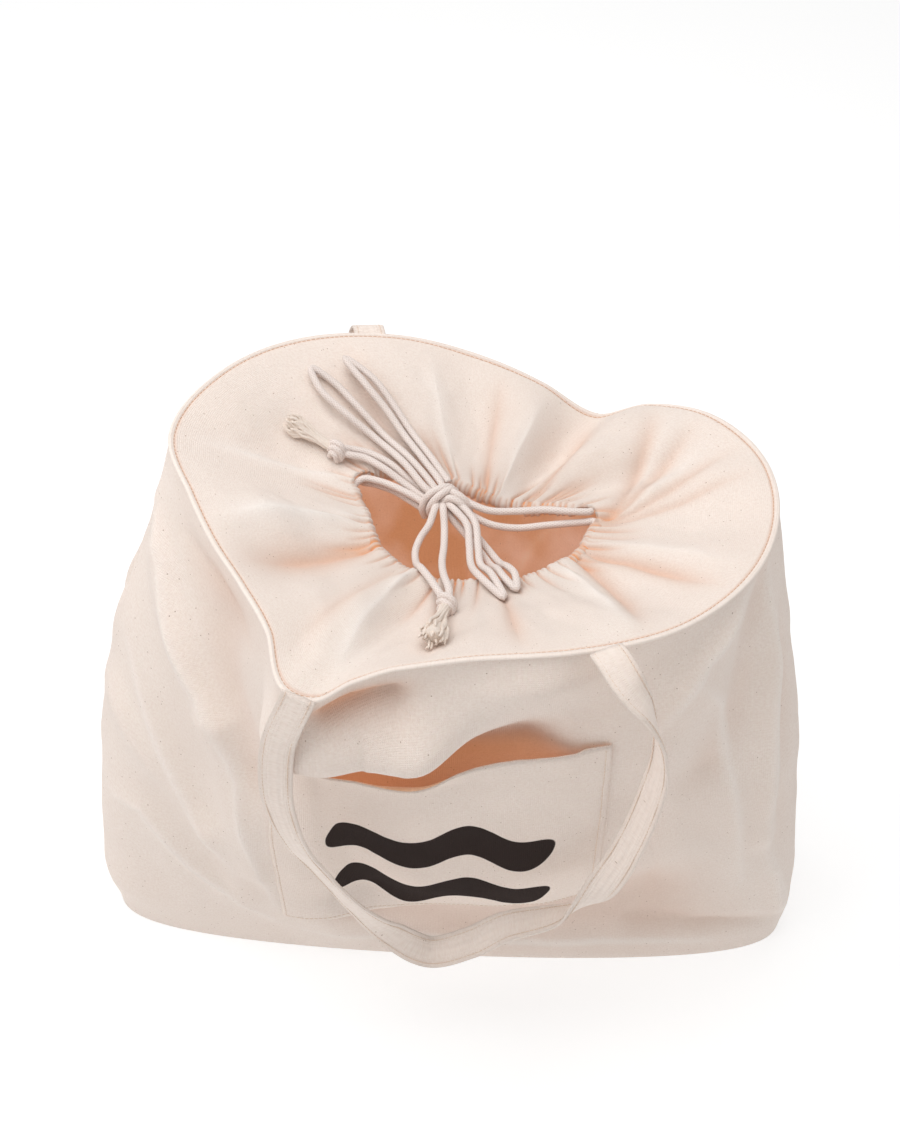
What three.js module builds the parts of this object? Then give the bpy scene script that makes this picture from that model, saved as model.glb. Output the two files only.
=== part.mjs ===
// A drawstring shopper bag of unbleached cotton canvas, standing on its boxed bottom.
// Millimetres, +Z up, +X to the right, -Y to the front, origin on the floor under the middle of the base.

import * as THREE from 'three';
import { mergeVertices } from 'three/addons/utils/BufferGeometryUtils.js';

// Driving dimensions
const RIM_HEIGHT = 400;
const PANEL_WIDTH = 600;
const CANVAS = 1.5;
const GAP = 0.4;
const BASE_HALF_LENGTH = 260;
const BASE_HALF_DEPTH = 78;
const BASE_THICKNESS = 2;
const BASE_ENDS = 0.38;
const WALL_BULGE = 14;
const RIM_SEAM = 3.6;
const MOUTH_LEVEL = 360;
const COLLAR_SAG = 3;
const COLLAR_LIP = 0.6;
const GATHERS = 24;
const GATHER_DEPTH = 2.4;
const CORD_DIAMETER = 5;
const CORD_SIDES = 8;
const TUNNEL_RADIUS = 5.2;
const TUNNEL_WALL = 1.0;
const TUNNEL_PUCKER = 0.4;
const EXIT_HALF_GAP = 8;
const STRAP_WIDTH = 22;
const STRAP_THICKNESS = 2.6;
const POCKET_STANDOFF = 3.6;
const POCKET_GAPE = 7;
const KNOT_RADIUS = 10.4;
const STOPPER_RADIUS = 6.4;

// Mesh fineness
const FRONT_GRID = { across: 36, up: 15 };
const BACK_GRID = { across: 26, up: 12 };
const POCKET_GRID = { across: 13, up: 8 };
const COLLAR_ROWS = [0, 0.1, 0.3, 0.52, 0.74, 0.9, 1];
const COLLAR_STEPS = GATHERS * 4;
const BASE_STEPS = 72;
const TUNNEL_SIDES = 7;
const STRAP_STEPS = 30;

// Bearings run anticlockwise seen from above: 180 is left, 270 front, 360 right, 450 back.
const LEFT_SEAM = 167;
const RIGHT_SEAM = 371;
const RIM_CENTRE = { x: 10, y: 5 };
const RIM = [
  { bearing: 167, reach: 206, rise: 8 },
  { bearing: 182, reach: 181, rise: 2 },
  { bearing: 197, reach: 166, rise: -4 },
  { bearing: 211, reach: 160, rise: -6 },
  { bearing: 226, reach: 167, rise: -8 },
  { bearing: 237, reach: 189, rise: -16 },
  { bearing: 243, reach: 184, rise: -20 },
  { bearing: 248, reach: 166, rise: -14 },
  { bearing: 257, reach: 150, rise: -8 },
  { bearing: 276, reach: 140, rise: -4 },
  { bearing: 298, reach: 153, rise: 0 },
  { bearing: 323, reach: 178, rise: 0 },
  { bearing: 348, reach: 198, rise: 0 },
  { bearing: 371, reach: 204, rise: 0 },
  { bearing: 390, reach: 193, rise: -4 },
  { bearing: 404, reach: 172, rise: -14 },
  { bearing: 414, reach: 150, rise: -26 },
  { bearing: 430, reach: 145, rise: -12 },
  { bearing: 450, reach: 155, rise: -2 },
  { bearing: 470, reach: 174, rise: 6 },
  { bearing: 492, reach: 198, rise: 10 },
  { bearing: 510, reach: 206, rise: 12 },
];

// The drawn-in mouth, with its two corners at the cord exits.
const LEFT_EXIT = 151;
const RIGHT_EXIT = 373;
const MOUTH_CENTRE = { x: 15, y: 12 };
const MOUTH = [
  { bearing: 151, reach: 94, rise: 4 },
  { bearing: 174, reach: 75, rise: 2.5 },
  { bearing: 208, reach: 64, rise: 1 },
  { bearing: 245, reach: 56, rise: 1 },
  { bearing: 270, reach: 51.5, rise: 1 },
  { bearing: 291, reach: 54.5, rise: 1 },
  { bearing: 323, reach: 63.5, rise: 1.5 },
  { bearing: 339, reach: 71, rise: 2 },
  { bearing: 355, reach: 78.5, rise: 3 },
  { bearing: 373, reach: 83, rise: 4 },
  { bearing: 383, reach: 70, rise: 1 },
  { bearing: 392, reach: 57, rise: -1.5 },
  { bearing: 402, reach: 48, rise: -3 },
  { bearing: 422, reach: 41.5, rise: -3.5 },
  { bearing: 441, reach: 43, rise: -3 },
  { bearing: 455, reach: 47.5, rise: -2 },
  { bearing: 472, reach: 58, rise: -0.5 },
  { bearing: 491, reach: 77, rise: 1.5 },
];

// Folds of the walls, each a ridge (or a hollow, where depth is negative) along a line on the flat panel.
// Across is measured from the panel's first seam, up from the floor.
const FRONT_FOLDS = [
  { name: 'left end bulge', from: [0, 40], to: [0, 250], depth: 13, width: 70 },
  { name: 'roll over the pocket, left', from: [208, 338], to: [285, 328], depth: 25, width: 30 },
  { name: 'roll over the pocket, right', from: [285, 328], to: [362, 380], depth: 10, width: 26 },
  { name: 'hollow below the roll', from: [222, 298], to: [238, 110], depth: -22, width: 34 },
  { name: 'hollow under the rim', from: [238, 377], to: [274, 371], depth: -14, width: 11 },
  { name: 'tucked lower front', from: [300, 70], to: [430, 80], depth: -15, width: 55 },
  { name: 'upper left fold', from: [40, 340], to: [125, 266], depth: 8, width: 17 },
  { name: 'upper left fold, lower end', from: [125, 266], to: [163, 130], depth: 7, width: 15 },
  { name: 'hollow beside the left handle', from: [120, 340], to: [160, 240], depth: -9, width: 24 },
  { name: 'lower left fold', from: [32, 215], to: [130, 158], depth: 7, width: 17 },
  { name: 'lower left fold, lower end', from: [130, 158], to: [156, 84], depth: 5, width: 14 },
  { name: 'right crease', from: [486, 392], to: [431, 290], depth: 6, width: 20 },
  { name: 'hollow right of the crease', from: [516, 385], to: [478, 250], depth: -8, width: 22 },
  { name: 'right fold', from: [512, 340], to: [524, 150], depth: 6, width: 16 },
  { name: 'bottom right crease', from: [442, 57], to: [547, 32], depth: -4, width: 11 },
];
const POCKET_HOLLOW = { name: 'hollow behind it', from: [225, 286], to: [350, 306], depth: -17, width: 24 };
const BACK_FOLDS = [
  { name: 'left end bulge', from: [600, 40], to: [600, 250], depth: 13, width: 70 },
  { name: 'hollow under the rim notch', from: [150, 392], to: [190, 215], depth: -17, width: 34 },
  { name: 'fold right of the notch', from: [92, 372], to: [70, 190], depth: 8, width: 22 },
  { name: 'fold from the right handle', from: [215, 380], to: [300, 190], depth: 9, width: 24 },
  { name: 'fold from the left handle', from: [430, 385], to: [360, 220], depth: 9, width: 26 },
  { name: 'sag across the middle', from: [230, 150], to: [420, 140], depth: -10, width: 42 },
  { name: 'left fold', from: [505, 345], to: [530, 150], depth: -8, width: 22 },
];

// Long folds of the collar, each running from a bearing at the mouth to a bearing at the rim.
const COLLAR_FOLDS = [
  { mouth: 152, rim: 168, depth: -6, width: 6 },
  { mouth: 176, rim: 190, depth: 5, width: 9 },
  { mouth: 200, rim: 208, depth: -5, width: 8 },
  { mouth: 226, rim: 240, depth: 8, width: 9 },
  { mouth: 243, rim: 258, depth: -6, width: 8 },
  { mouth: 262, rim: 270, depth: -3, width: 9 },
  { mouth: 288, rim: 290, depth: 4, width: 8 },
  { mouth: 312, rim: 312, depth: 6, width: 9 },
  { mouth: 336, rim: 326, depth: -6, width: 7 },
  { mouth: 352, rim: 344, depth: 5, width: 7 },
  { mouth: 366, rim: 358, depth: -4, width: 7 },
  { mouth: 378, rim: 372, depth: 5, width: 6 },
  { mouth: 386, rim: 382, depth: -4, width: 6 },
  { mouth: 394, rim: 394, depth: 6, width: 7 },
  { mouth: 404, rim: 405, depth: 12, width: 8 },
  { mouth: 412, rim: 417, depth: -9, width: 7 },
  { mouth: 430, rim: 431, depth: 8, width: 9 },
  { mouth: 452, rim: 452, depth: -5, width: 9 },
  { mouth: 476, rim: 474, depth: 5, width: 10 },
];

// The patch pocket's corners on the flat front panel.
const POCKET = {
  left: 183.3,
  right: 403.3,
  bottomLeft: 68,
  bottomRight: 88,
  topLeft: 306,
  topRight: 302,
  cornerRise: 22,
};

// Handle routes: the middle of the strap, and the way that its outer face looks.
const FRONT_STRAP = [
  { at: [-84, -160.5, 379], face: [-0.1, -0.97, 0.2] },
  { at: [-95, -169.5, 353], face: [-0.1, -0.97, 0.15] },
  { at: [-99, -172.5, 320], face: [-0.1, -0.95, 0.2] },
  { at: [-98, -171, 284], face: [-0.3, -0.87, 0.35] },
  { at: [-90, -166, 243], face: [-0.5, -0.75, 0.4] },
  { at: [-77, -160, 208], face: [-0.62, -0.65, 0.45] },
  { at: [-57, -155, 166], face: [-0.6, -0.6, 0.52] },
  { at: [-33, -151, 130], face: [-0.45, -0.55, 0.7] },
  { at: [-6, -148, 106], face: [-0.02, -0.55, 0.84] },
  { at: [22, -147, 118], face: [-0.2, -0.6, 0.77] },
  { at: [47, -146, 138], face: [-0.35, -0.3, 0.86] },
  { at: [71, -146, 148], face: [-0.35, 0, 0.9] },
  { at: [94, -147, 161], face: [0, 0.2, 0.95] },
  { at: [113, -150, 196], face: [0.75, 0.45, 0.35] },
  { at: [124, -153, 238], face: [0.8, 0.6, 0.15] },
  { at: [132, -156, 283], face: [0.78, 0.62, 0.1] },
  { at: [137, -158.5, 325], face: [0.85, 0.5, 0.1] },
  { at: [135, -160, 356], face: [0.95, 0.3, 0.1] },
  { at: [127, -158, 380], face: [0.93, -0.15, 0.3] },
  { at: [114.5, -150, 396], face: [0.5, -0.5, 0.75] },
  { at: [105, -138, 402], face: [0.1, -0.1, 1] },
  { at: [100.5, -129.6, 402], face: [0, 0.05, 1] },
];
const BACK_STRAP = [
  { at: [-67, 169.6, 408.4], face: [0, 0.1, 1] },
  { at: [-68.5, 175, 408.2], face: [0, 0.5, 0.86] },
  { at: [-72, 181.5, 397], face: [-0.05, 0.97, 0.2] },
  { at: [-79, 187, 362], face: [-0.1, 0.99, 0.1] },
  { at: [-84, 187, 320], face: [-0.2, 0.96, 0.2] },
  { at: [-80, 181, 276], face: [-0.4, 0.85, 0.3] },
  { at: [-68, 174, 232], face: [-0.6, 0.7, 0.4] },
  { at: [-48, 167, 188], face: [-0.6, 0.6, 0.52] },
  { at: [-24, 161, 152], face: [-0.4, 0.5, 0.75] },
  { at: [4, 157, 138], face: [0.05, 0.45, 0.9] },
  { at: [32, 156, 150], face: [0.4, 0.5, 0.75] },
  { at: [56, 157, 184], face: [0.6, 0.65, 0.45] },
  { at: [70, 159, 226], face: [0.6, 0.72, 0.3] },
  { at: [78, 161, 272], face: [0.45, 0.87, 0.2] },
  { at: [81, 160, 318], face: [0.2, 0.96, 0.15] },
  { at: [80, 153, 345], face: [0.25, 0.93, 0.25] },
  { at: [77, 146.5, 364], face: [0.3, 0.9, 0.3] },
  { at: [75.8, 144.2, 370.5], face: [0.35, 0.87, 0.33] },
];

// Cord routes, chosen by hand. The bow's knot hangs on the line between the two cord exits.
const KNOT_CENTRE = [-7.5, 39, 366];
const STOPPERS = [
  { name: 'stopper_left', at: [-82, 72.5, 379], axis: [-0.9, 0.3, 0.25] },
  { name: 'stopper_front', at: [1.5, -67, 374], axis: [-0.12, -0.95, 0.25] },
];
const TASSELS = [
  { name: 'tassel_left', from: [-88.6, 75.2, 381.4], to: [-117, 87, 391], slim: 3.6, wide: 7.4 },
  { name: 'tassel_front', from: [0.1, -74.1, 375.4], to: [-4.5, -114, 391], slim: 3.6, wide: 8 },
];
const STRANDS = [
  {
    name: 'cord_left_lower',
    steps: 5,
    route: [
      [-68.9, 45.7, 363.6], [-68.6, 52, 364.8], [-62.5, 57, 366.6], [-52, 55, 366.8],
      [-40, 49.2, 366.8], [-28, 42, 366.2], [-20.2, 37.4, 365.4],
    ],
  },
  {
    name: 'cord_left_upper',
    steps: 5,
    route: [
      [-58.5, 65.7, 364], [-63.4, 64.2, 363.4], [-64.4, 60, 361.8], [-54, 57.8, 361],
      [-40.5, 52.4, 360], [-28, 43.6, 358.8], [-18.2, 37, 358.6],
    ],
  },
  {
    name: 'cord_right_lower',
    steps: 7,
    route: [
      [97.4, 20.8, 363.6], [96, 26.4, 362.6], [89, 27, 361], [66, 25.2, 359],
      [44, 23.2, 357], [27, 24, 358.5], [14.5, 29.5, 360.5], [4.6, 36.9, 362.6],
    ],
  },
  {
    name: 'cord_right_upper',
    steps: 7,
    route: [
      [86.4, 38, 363.2], [92.4, 36.4, 364.6], [93.4, 31.4, 367], [79.4, 29.6, 368],
      [62, 32, 366.5], [43, 31.2, 365], [25.5, 30.4, 365.4], [13, 34, 367.4], [4.8, 38.4, 369],
    ],
  },
  {
    name: 'tail_left_upper',
    steps: 4,
    route: [
      [-16.7, 46.8, 363], [-30, 56.8, 366.5], [-46, 67, 373.4],
      [-61, 74.5, 375.4], [-75, 75.4, 377.6],
    ],
  },
  {
    name: 'tail_left_lower',
    steps: 4,
    route: [
      [-19.4, 42.6, 364], [-33, 52, 367.2], [-49, 61.2, 373.4],
      [-62.5, 68.8, 375.4], [-75, 69.7, 377.6],
    ],
  },
  {
    name: 'tail_front_outer',
    steps: 7,
    route: [
      [-11.5, 27.2, 369], [-14.9, 16.5, 363.5], [-20.3, 8.5, 358.5], [-23, -3, 357],
      [-21.5, -17, 359.5], [-17, -31, 368.4], [-11, -44, 372.6], [-3.3, -59.5, 374.4],
    ],
  },
  {
    name: 'tail_front_inner',
    steps: 5,
    route: [
      [-6.1, 27, 369], [-4.6, 15, 363.5], [-4, -1.5, 361.5],
      [-4.2, -20, 365], [-2.5, -37, 370.6], [2.7, -59.5, 375.4],
    ],
  },
];

// Bow loops: the middle line from the knot out to the tip, and half the distance between the two strands.
const LOOPS = [
  {
    name: 'loop_back_outer',
    steps: 9,
    spine: [
      [-16.5, 47.8, 369.4], [-32.9, 67.3, 375.2], [-53.3, 89.5, 377],
      [-73.6, 103, 389], [-93, 118, 399], [-104, 128, 405.5],
    ],
    half: [2.8, 2.9, 3.4, 5.6, 6, 0],
  },
  {
    name: 'loop_back_inner',
    steps: 9,
    spine: [
      [-5.9, 51.6, 369.4], [-19, 70.8, 374.2], [-34.5, 92.5, 379],
      [-48, 108.5, 389], [-63, 122.5, 400], [-81, 137, 408],
    ],
    half: [2.8, 2.9, 3, 3.4, 4, 0],
  },
  {
    name: 'loop_front_outer',
    steps: 8,
    spine: [
      [1.3, 30.7, 369.4], [13, 16.2, 366.5], [15.7, -0.5, 362.5],
      [18, -20, 363], [25, -37, 370.4], [37.5, -59, 373],
    ],
    half: [2.8, 2.9, 2.9, 3.1, 3.8, 0],
  },
  {
    name: 'loop_front_inner',
    steps: 8,
    spine: [
      [0.2, 29.4, 362.6], [12, 17.3, 356.5], [22.7, 3.5, 353.5], [30.5, -12, 356.5],
      [36, -26, 366.4], [40.5, -38, 371.6], [45, -50, 372],
    ],
    half: [2.8, 2.9, 2.9, 3.2, 3.6, 3.8, 0],
  },
];

// Finishes
const canvas = new THREE.MeshStandardMaterial({ color: 0xeadccb, roughness: 0.95, metalness: 0 });
const canvasHem = new THREE.MeshStandardMaterial({ color: 0xe8d6c4, roughness: 0.95, metalness: 0 });
const cordCotton = new THREE.MeshStandardMaterial({ color: 0xe8e0d6, roughness: 0.9, metalness: 0 });

const radians = (degrees) => (degrees * Math.PI) / 180;
const mix = (a, b, share) => a + (b - a) * share;
const vector = (p) => new THREE.Vector3(p[0], p[1], p[2]);

// The value of a column of a closed table at a bearing, on a smooth curve through the rows.
function around(rows, column, bearing) {
  const count = rows.length;
  const turn = 360;
  const first = rows[0].bearing;
  const local = first + ((((bearing - first) % turn) + turn) % turn);
  let index = count - 1;
  while (rows[index].bearing > local) index -= 1;
  const row = (k) => {
    const wrapped = ((k % count) + count) % count;
    return { bearing: rows[wrapped].bearing + turn * Math.floor(k / count), value: rows[wrapped][column] };
  };
  const [before, start, end, after] = [row(index - 1), row(index), row(index + 1), row(index + 2)];
  const span = end.bearing - start.bearing;
  const leave = ((end.value - before.value) / (end.bearing - before.bearing)) * span;
  const arrive = ((after.value - start.value) / (after.bearing - start.bearing)) * span;
  const f = (local - start.bearing) / span;
  const f2 = f * f;
  const f3 = f2 * f;
  return (2 * f3 - 3 * f2 + 1) * start.value + (f3 - 2 * f2 + f) * leave
    + (3 * f2 - 2 * f3) * end.value + (f3 - f2) * arrive;
}

function ringPoint(rows, centre, level, bearing) {
  const reach = around(rows, 'reach', bearing);
  const angle = radians(bearing);
  return new THREE.Vector3(
    centre.x + reach * Math.cos(angle),
    centre.y + reach * Math.sin(angle),
    level + around(rows, 'rise', bearing),
  );
}

const rimPoint = (bearing) => ringPoint(RIM, RIM_CENTRE, RIM_HEIGHT, bearing);
const mouthPoint = (bearing) => ringPoint(MOUTH, MOUTH_CENTRE, MOUTH_LEVEL, bearing);

// The middle of the hem tunnel at a bearing, with its directions along, away from the mouth and up.
function mouthFrame(bearing) {
  const run = mouthPoint(bearing + 0.5).sub(mouthPoint(bearing - 0.5)).normalize();
  const aside = run.clone().cross(new THREE.Vector3(0, 0, 1)).normalize();
  return { centre: mouthPoint(bearing), aside, lift: aside.clone().cross(run) };
}

// The floor outline in half turns: 0 at the left end, 1 at the right end by way of the front,
// 2 at the left end again.
function basePoint(halfTurns) {
  const isFront = Math.floor(halfTurns) % 2 === 0;
  const share = halfTurns - Math.floor(halfTurns);
  const [near, far] = [share ** (1 / BASE_ENDS), (1 - share) ** (1 / BASE_ENDS)];
  const angle = (Math.PI * near) / (near + far);
  const sign = isFront ? -1 : 1;
  const depth = Math.abs(Math.sin(angle)) ** BASE_ENDS;
  return new THREE.Vector3(sign * BASE_HALF_LENGTH * Math.cos(angle), sign * BASE_HALF_DEPTH * depth, 0);
}

// A function from a share of a curve's length to its parameter.
function byLength(pointAt, start, end) {
  const samples = 600;
  const lengths = [0];
  let last = pointAt(start);
  for (let k = 1; k <= samples; k += 1) {
    const next = pointAt(mix(start, end, k / samples));
    lengths.push(lengths[k - 1] + next.distanceTo(last));
    last = next;
  }
  return (share) => {
    const wanted = THREE.MathUtils.clamp(share, 0, 1) * lengths[samples];
    let k = 1;
    while (k < samples && lengths[k] < wanted) k += 1;
    const part = (wanted - lengths[k - 1]) / (lengths[k] - lengths[k - 1]);
    return mix(start, end, (k - 1 + part) / samples);
  };
}

function foldPush(folds, across, up) {
  let push = 0;
  for (const { from, to, depth, width } of folds) {
    const run = [to[0] - from[0], to[1] - from[1]];
    const along = ((across - from[0]) * run[0] + (up - from[1]) * run[1]) / (run[0] ** 2 + run[1] ** 2);
    const share = THREE.MathUtils.clamp(along, 0, 1);
    const distance = Math.hypot(across - from[0] - share * run[0], up - from[1] - share * run[1]);
    push += depth * Math.exp(-((distance / width) ** 2));
  }
  return push;
}

// A wall panel as a function of two shares: along from its first seam, up from the floor to the rim.
function panelSurface(folds, rimStart, rimEnd, baseStart, baseEnd) {
  const rimAt = byLength(rimPoint, rimStart, rimEnd);
  const baseAt = byLength(basePoint, baseStart, baseEnd);
  const straight = (along, up) => basePoint(baseAt(along)).lerp(rimPoint(rimAt(along)), up);
  const nudge = 0.004;
  return (along, up) => {
    const point = straight(along, up);
    const ahead = straight(along + nudge, up);
    const run = ahead.sub(straight(along - nudge, up));
    const out = new THREE.Vector3(run.y, -run.x, 0).normalize();
    const bulge = WALL_BULGE * Math.sin(Math.PI * up ** 0.8);
    const freed = THREE.MathUtils.smoothstep(up, 0, 0.12) * (1 - THREE.MathUtils.smoothstep(up, 0.93, 1));
    return point.addScaledVector(out, bulge + freed * foldPush(folds, along * PANEL_WIDTH, up * RIM_HEIGHT));
  };
}

const frontSurface = panelSurface([...FRONT_FOLDS, POCKET_HOLLOW], LEFT_SEAM, RIGHT_SEAM, 0, 1);
const pocketSurface = panelSurface(FRONT_FOLDS, LEFT_SEAM, RIGHT_SEAM, 0, 1);
const backSurface = panelSurface(BACK_FOLDS, RIGHT_SEAM, LEFT_SEAM + 360, 1, 2);

// The collar as a function of two shares: round from the left seam, and inward from the rim to the tunnels.
function collarSurface(turnShare, inward) {
  const bearing = LEFT_SEAM + 360 * turnShare;
  const { centre, aside } = mouthFrame(bearing);
  const edge = centre.addScaledVector(aside, TUNNEL_RADIUS + TUNNEL_PUCKER + GAP);
  const rim = rimPoint(bearing);
  const point = rim.clone().lerp(edge, inward);
  const swell = Math.sin(Math.PI * inward);
  const flatter = mix(inward, THREE.MathUtils.smoothstep(inward, 0, 1), COLLAR_LIP);
  let lift = (edge.z - rim.z) * (flatter - inward) - COLLAR_SAG * swell;
  for (const fold of COLLAR_FOLDS) {
    const ridge = mix(fold.rim, fold.mouth, inward);
    const offset = THREE.MathUtils.euclideanModulo(bearing - ridge + 180, 360) - 180;
    lift += fold.depth * swell * Math.exp(-((offset / fold.width) ** 2));
  }
  const drawn = THREE.MathUtils.smoothstep(inward, 0.45, 1);
  lift += GATHER_DEPTH * drawn * Math.cos(2 * Math.PI * GATHERS * turnShare);
  return point.add(new THREE.Vector3(0, 0, lift));
}

// The outward direction of a surface, from its slopes along its two shares.
function surfaceNormal(surface, a, b) {
  const nudge = 0.004;
  const alongA = surface(a + nudge, b).sub(surface(a - nudge, b));
  const alongB = surface(a, Math.min(b + nudge, 1)).sub(surface(a, Math.max(b - nudge, 0)));
  return alongA.cross(alongB).normalize();
}

// A closed wall between two grids of points. Columns run one way and rows the other, and column-run
// crossed with row-run points out of the outer grid. Both grids are cut along the same diagonals, so that
// they stay apart where the wall twists. A ring joins its last column to its first.
function wallBetween(outer, inner, isRing) {
  const columns = outer.length;
  const rows = outer[0].length;
  const positions = [];
  const faces = [];
  for (const grid of [outer, inner]) {
    for (const column of grid) {
      for (const p of column) positions.push(p.x, p.y, p.z);
    }
  }
  const at = (layer, i, j) => (layer * columns + (i % columns)) * rows + j;
  const quad = (a, b, c, d) => faces.push(a, b, c, a, c, d);
  const spans = isRing ? columns : columns - 1;
  const top = rows - 1;
  const end = columns - 1;
  for (let i = 0; i < spans; i += 1) {
    for (let j = 0; j < top; j += 1) {
      quad(at(0, i, j), at(0, i + 1, j), at(0, i + 1, j + 1), at(0, i, j + 1));
      quad(at(1, i, j), at(1, i, j + 1), at(1, i + 1, j + 1), at(1, i + 1, j));
    }
    quad(at(0, i + 1, 0), at(0, i, 0), at(1, i, 0), at(1, i + 1, 0));
    quad(at(0, i, top), at(0, i + 1, top), at(1, i + 1, top), at(1, i, top));
  }
  if (!isRing) {
    for (let j = 0; j < top; j += 1) {
      quad(at(0, 0, j), at(0, 0, j + 1), at(1, 0, j + 1), at(1, 0, j));
      quad(at(0, end, j + 1), at(0, end, j), at(1, end, j), at(1, end, j + 1));
    }
  }
  const geometry = new THREE.BufferGeometry();
  geometry.setAttribute('position', new THREE.Float32BufferAttribute(positions, 3));
  geometry.setIndex(faces);
  return geometry;
}

// A solid through closed rings of points, with a flat or pointed cap on each end.
function loft(rings) {
  const sides = rings[0].length;
  const positions = [];
  const faces = [];
  for (const ring of rings) {
    for (const p of ring) positions.push(p.x, p.y, p.z);
  }
  const at = (k, i) => k * sides + (i % sides);
  for (let k = 0; k + 1 < rings.length; k += 1) {
    for (let i = 0; i < sides; i += 1) {
      faces.push(at(k, i), at(k, i + 1), at(k + 1, i + 1), at(k, i), at(k + 1, i + 1), at(k + 1, i));
    }
  }
  for (const [k, flip] of [[0, true], [rings.length - 1, false]]) {
    const middle = new THREE.Vector3();
    for (const p of rings[k]) middle.addScaledVector(p, 1 / sides);
    const hub = positions.length / 3;
    positions.push(middle.x, middle.y, middle.z);
    for (let i = 0; i < sides; i += 1) {
      const pair = flip ? [at(k, i + 1), at(k, i)] : [at(k, i), at(k, i + 1)];
      faces.push(hub, ...pair);
    }
  }
  const geometry = new THREE.BufferGeometry();
  geometry.setAttribute('position', new THREE.Float32BufferAttribute(positions, 3));
  geometry.setIndex(faces);
  return geometry;
}

function part(name, geometry, material) {
  const mesh = new THREE.Mesh(geometry, material);
  mesh.name = name;
  return mesh;
}

// A canvas wall of even thickness on the inside of a panel surface, kept clear of its two seams and the rim.
function panelWall(surface, grid, length) {
  const outer = [];
  const inner = [];
  const seam = GAP / 2 / length;
  const topUp = 1 - RIM_SEAM / RIM_HEIGHT;
  for (let i = 0; i <= grid.across; i += 1) {
    const along = mix(seam, 1 - seam, i / grid.across);
    const outerColumn = [];
    const innerColumn = [];
    for (let j = 0; j <= grid.up; j += 1) {
      const up = topUp * (j / grid.up);
      const point = surface(along, up);
      const normal = surfaceNormal(surface, along, up);
      const inside = point.clone().addScaledVector(normal, -CANVAS);
      if (j === 0) inside.z = 0;
      outerColumn.push(point);
      innerColumn.push(inside);
    }
    outer.push(outerColumn);
    inner.push(innerColumn);
  }
  return wallBetween(outer, inner, false);
}

function basePanel() {
  const outline = [];
  for (let k = 0; k < BASE_STEPS; k += 1) {
    const inset = CANVAS * 2 + GAP;
    const point = basePoint((2 * k) / BASE_STEPS);
    const shrinkX = 1 - inset / BASE_HALF_LENGTH;
    const shrinkY = 1 - inset / BASE_HALF_DEPTH;
    outline.push(new THREE.Vector2(point.x * shrinkX, point.y * shrinkY));
  }
  return new THREE.ExtrudeGeometry(new THREE.Shape(outline), { depth: BASE_THICKNESS, bevelEnabled: false });
}

function collarWall() {
  const outer = [];
  const inner = [];
  for (let i = 0; i < COLLAR_STEPS; i += 1) {
    const share = i / COLLAR_STEPS;
    const points = COLLAR_ROWS.map((inward) => collarSurface(share, inward));
    const normals = COLLAR_ROWS.map((inward) => surfaceNormal(collarSurface, share, inward));
    outer.push(points);
    inner.push(points.map((p, j) => p.clone().addScaledVector(normals[j], -CANVAS)));
  }
  return wallBetween(outer, inner, true);
}

// Half of the hem round the mouth: a hollow tunnel for the cord, puckered along its length.
function tunnel(startBearing, endBearing, puckers) {
  const steps = puckers * 2;
  const outer = Array.from({ length: TUNNEL_SIDES }, () => []);
  const inner = Array.from({ length: TUNNEL_SIDES }, () => []);
  for (let k = 0; k <= steps; k += 1) {
    const bearing = mix(startBearing, endBearing, k / steps);
    const { centre, aside, lift } = mouthFrame(bearing);
    const radius = TUNNEL_RADIUS + TUNNEL_PUCKER * (k % 2 === 0 ? 1 : -1);
    for (let i = 0; i < TUNNEL_SIDES; i += 1) {
      const angle = (2 * Math.PI * i) / TUNNEL_SIDES;
      const spoke = aside.clone().multiplyScalar(Math.cos(angle)).addScaledVector(lift, -Math.sin(angle));
      outer[i].push(centre.clone().addScaledVector(spoke, radius));
      inner[i].push(centre.clone().addScaledVector(spoke, radius - TUNNEL_WALL));
    }
  }
  return wallBetween(outer, inner, true);
}

// The patch pocket stands off the front panel, which is hollow behind the pocket's open top.
function pocketWall() {
  const place = (a, b) => {
    const bottom = mix(POCKET.bottomLeft, POCKET.bottomRight, a) + POCKET.cornerRise * a ** 9;
    const top = mix(POCKET.topLeft, POCKET.topRight, a);
    const along = mix(POCKET.left, POCKET.right, a) / PANEL_WIDTH;
    const up = mix(bottom, top, b) / RIM_HEIGHT;
    const gape = POCKET_GAPE * b ** 2.4 * Math.max(Math.sin(Math.PI * a ** 0.75), 0) ** 1.5;
    const normal = surfaceNormal(pocketSurface, along, up);
    return { point: pocketSurface(along, up), normal, gape };
  };
  const outer = [];
  const inner = [];
  for (let i = 0; i <= POCKET_GRID.across; i += 1) {
    const column = [];
    for (let j = 0; j <= POCKET_GRID.up; j += 1) {
      column.push(place(i / POCKET_GRID.across, j / POCKET_GRID.up));
    }
    const shifted = (thickness) => column.map(({ point, normal, gape }) => (
      point.clone().addScaledVector(normal, POCKET_STANDOFF + gape + thickness)
    ));
    outer.push(shifted(CANVAS));
    inner.push(shifted(0));
  }
  return wallBetween(outer, inner, false);
}

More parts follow.
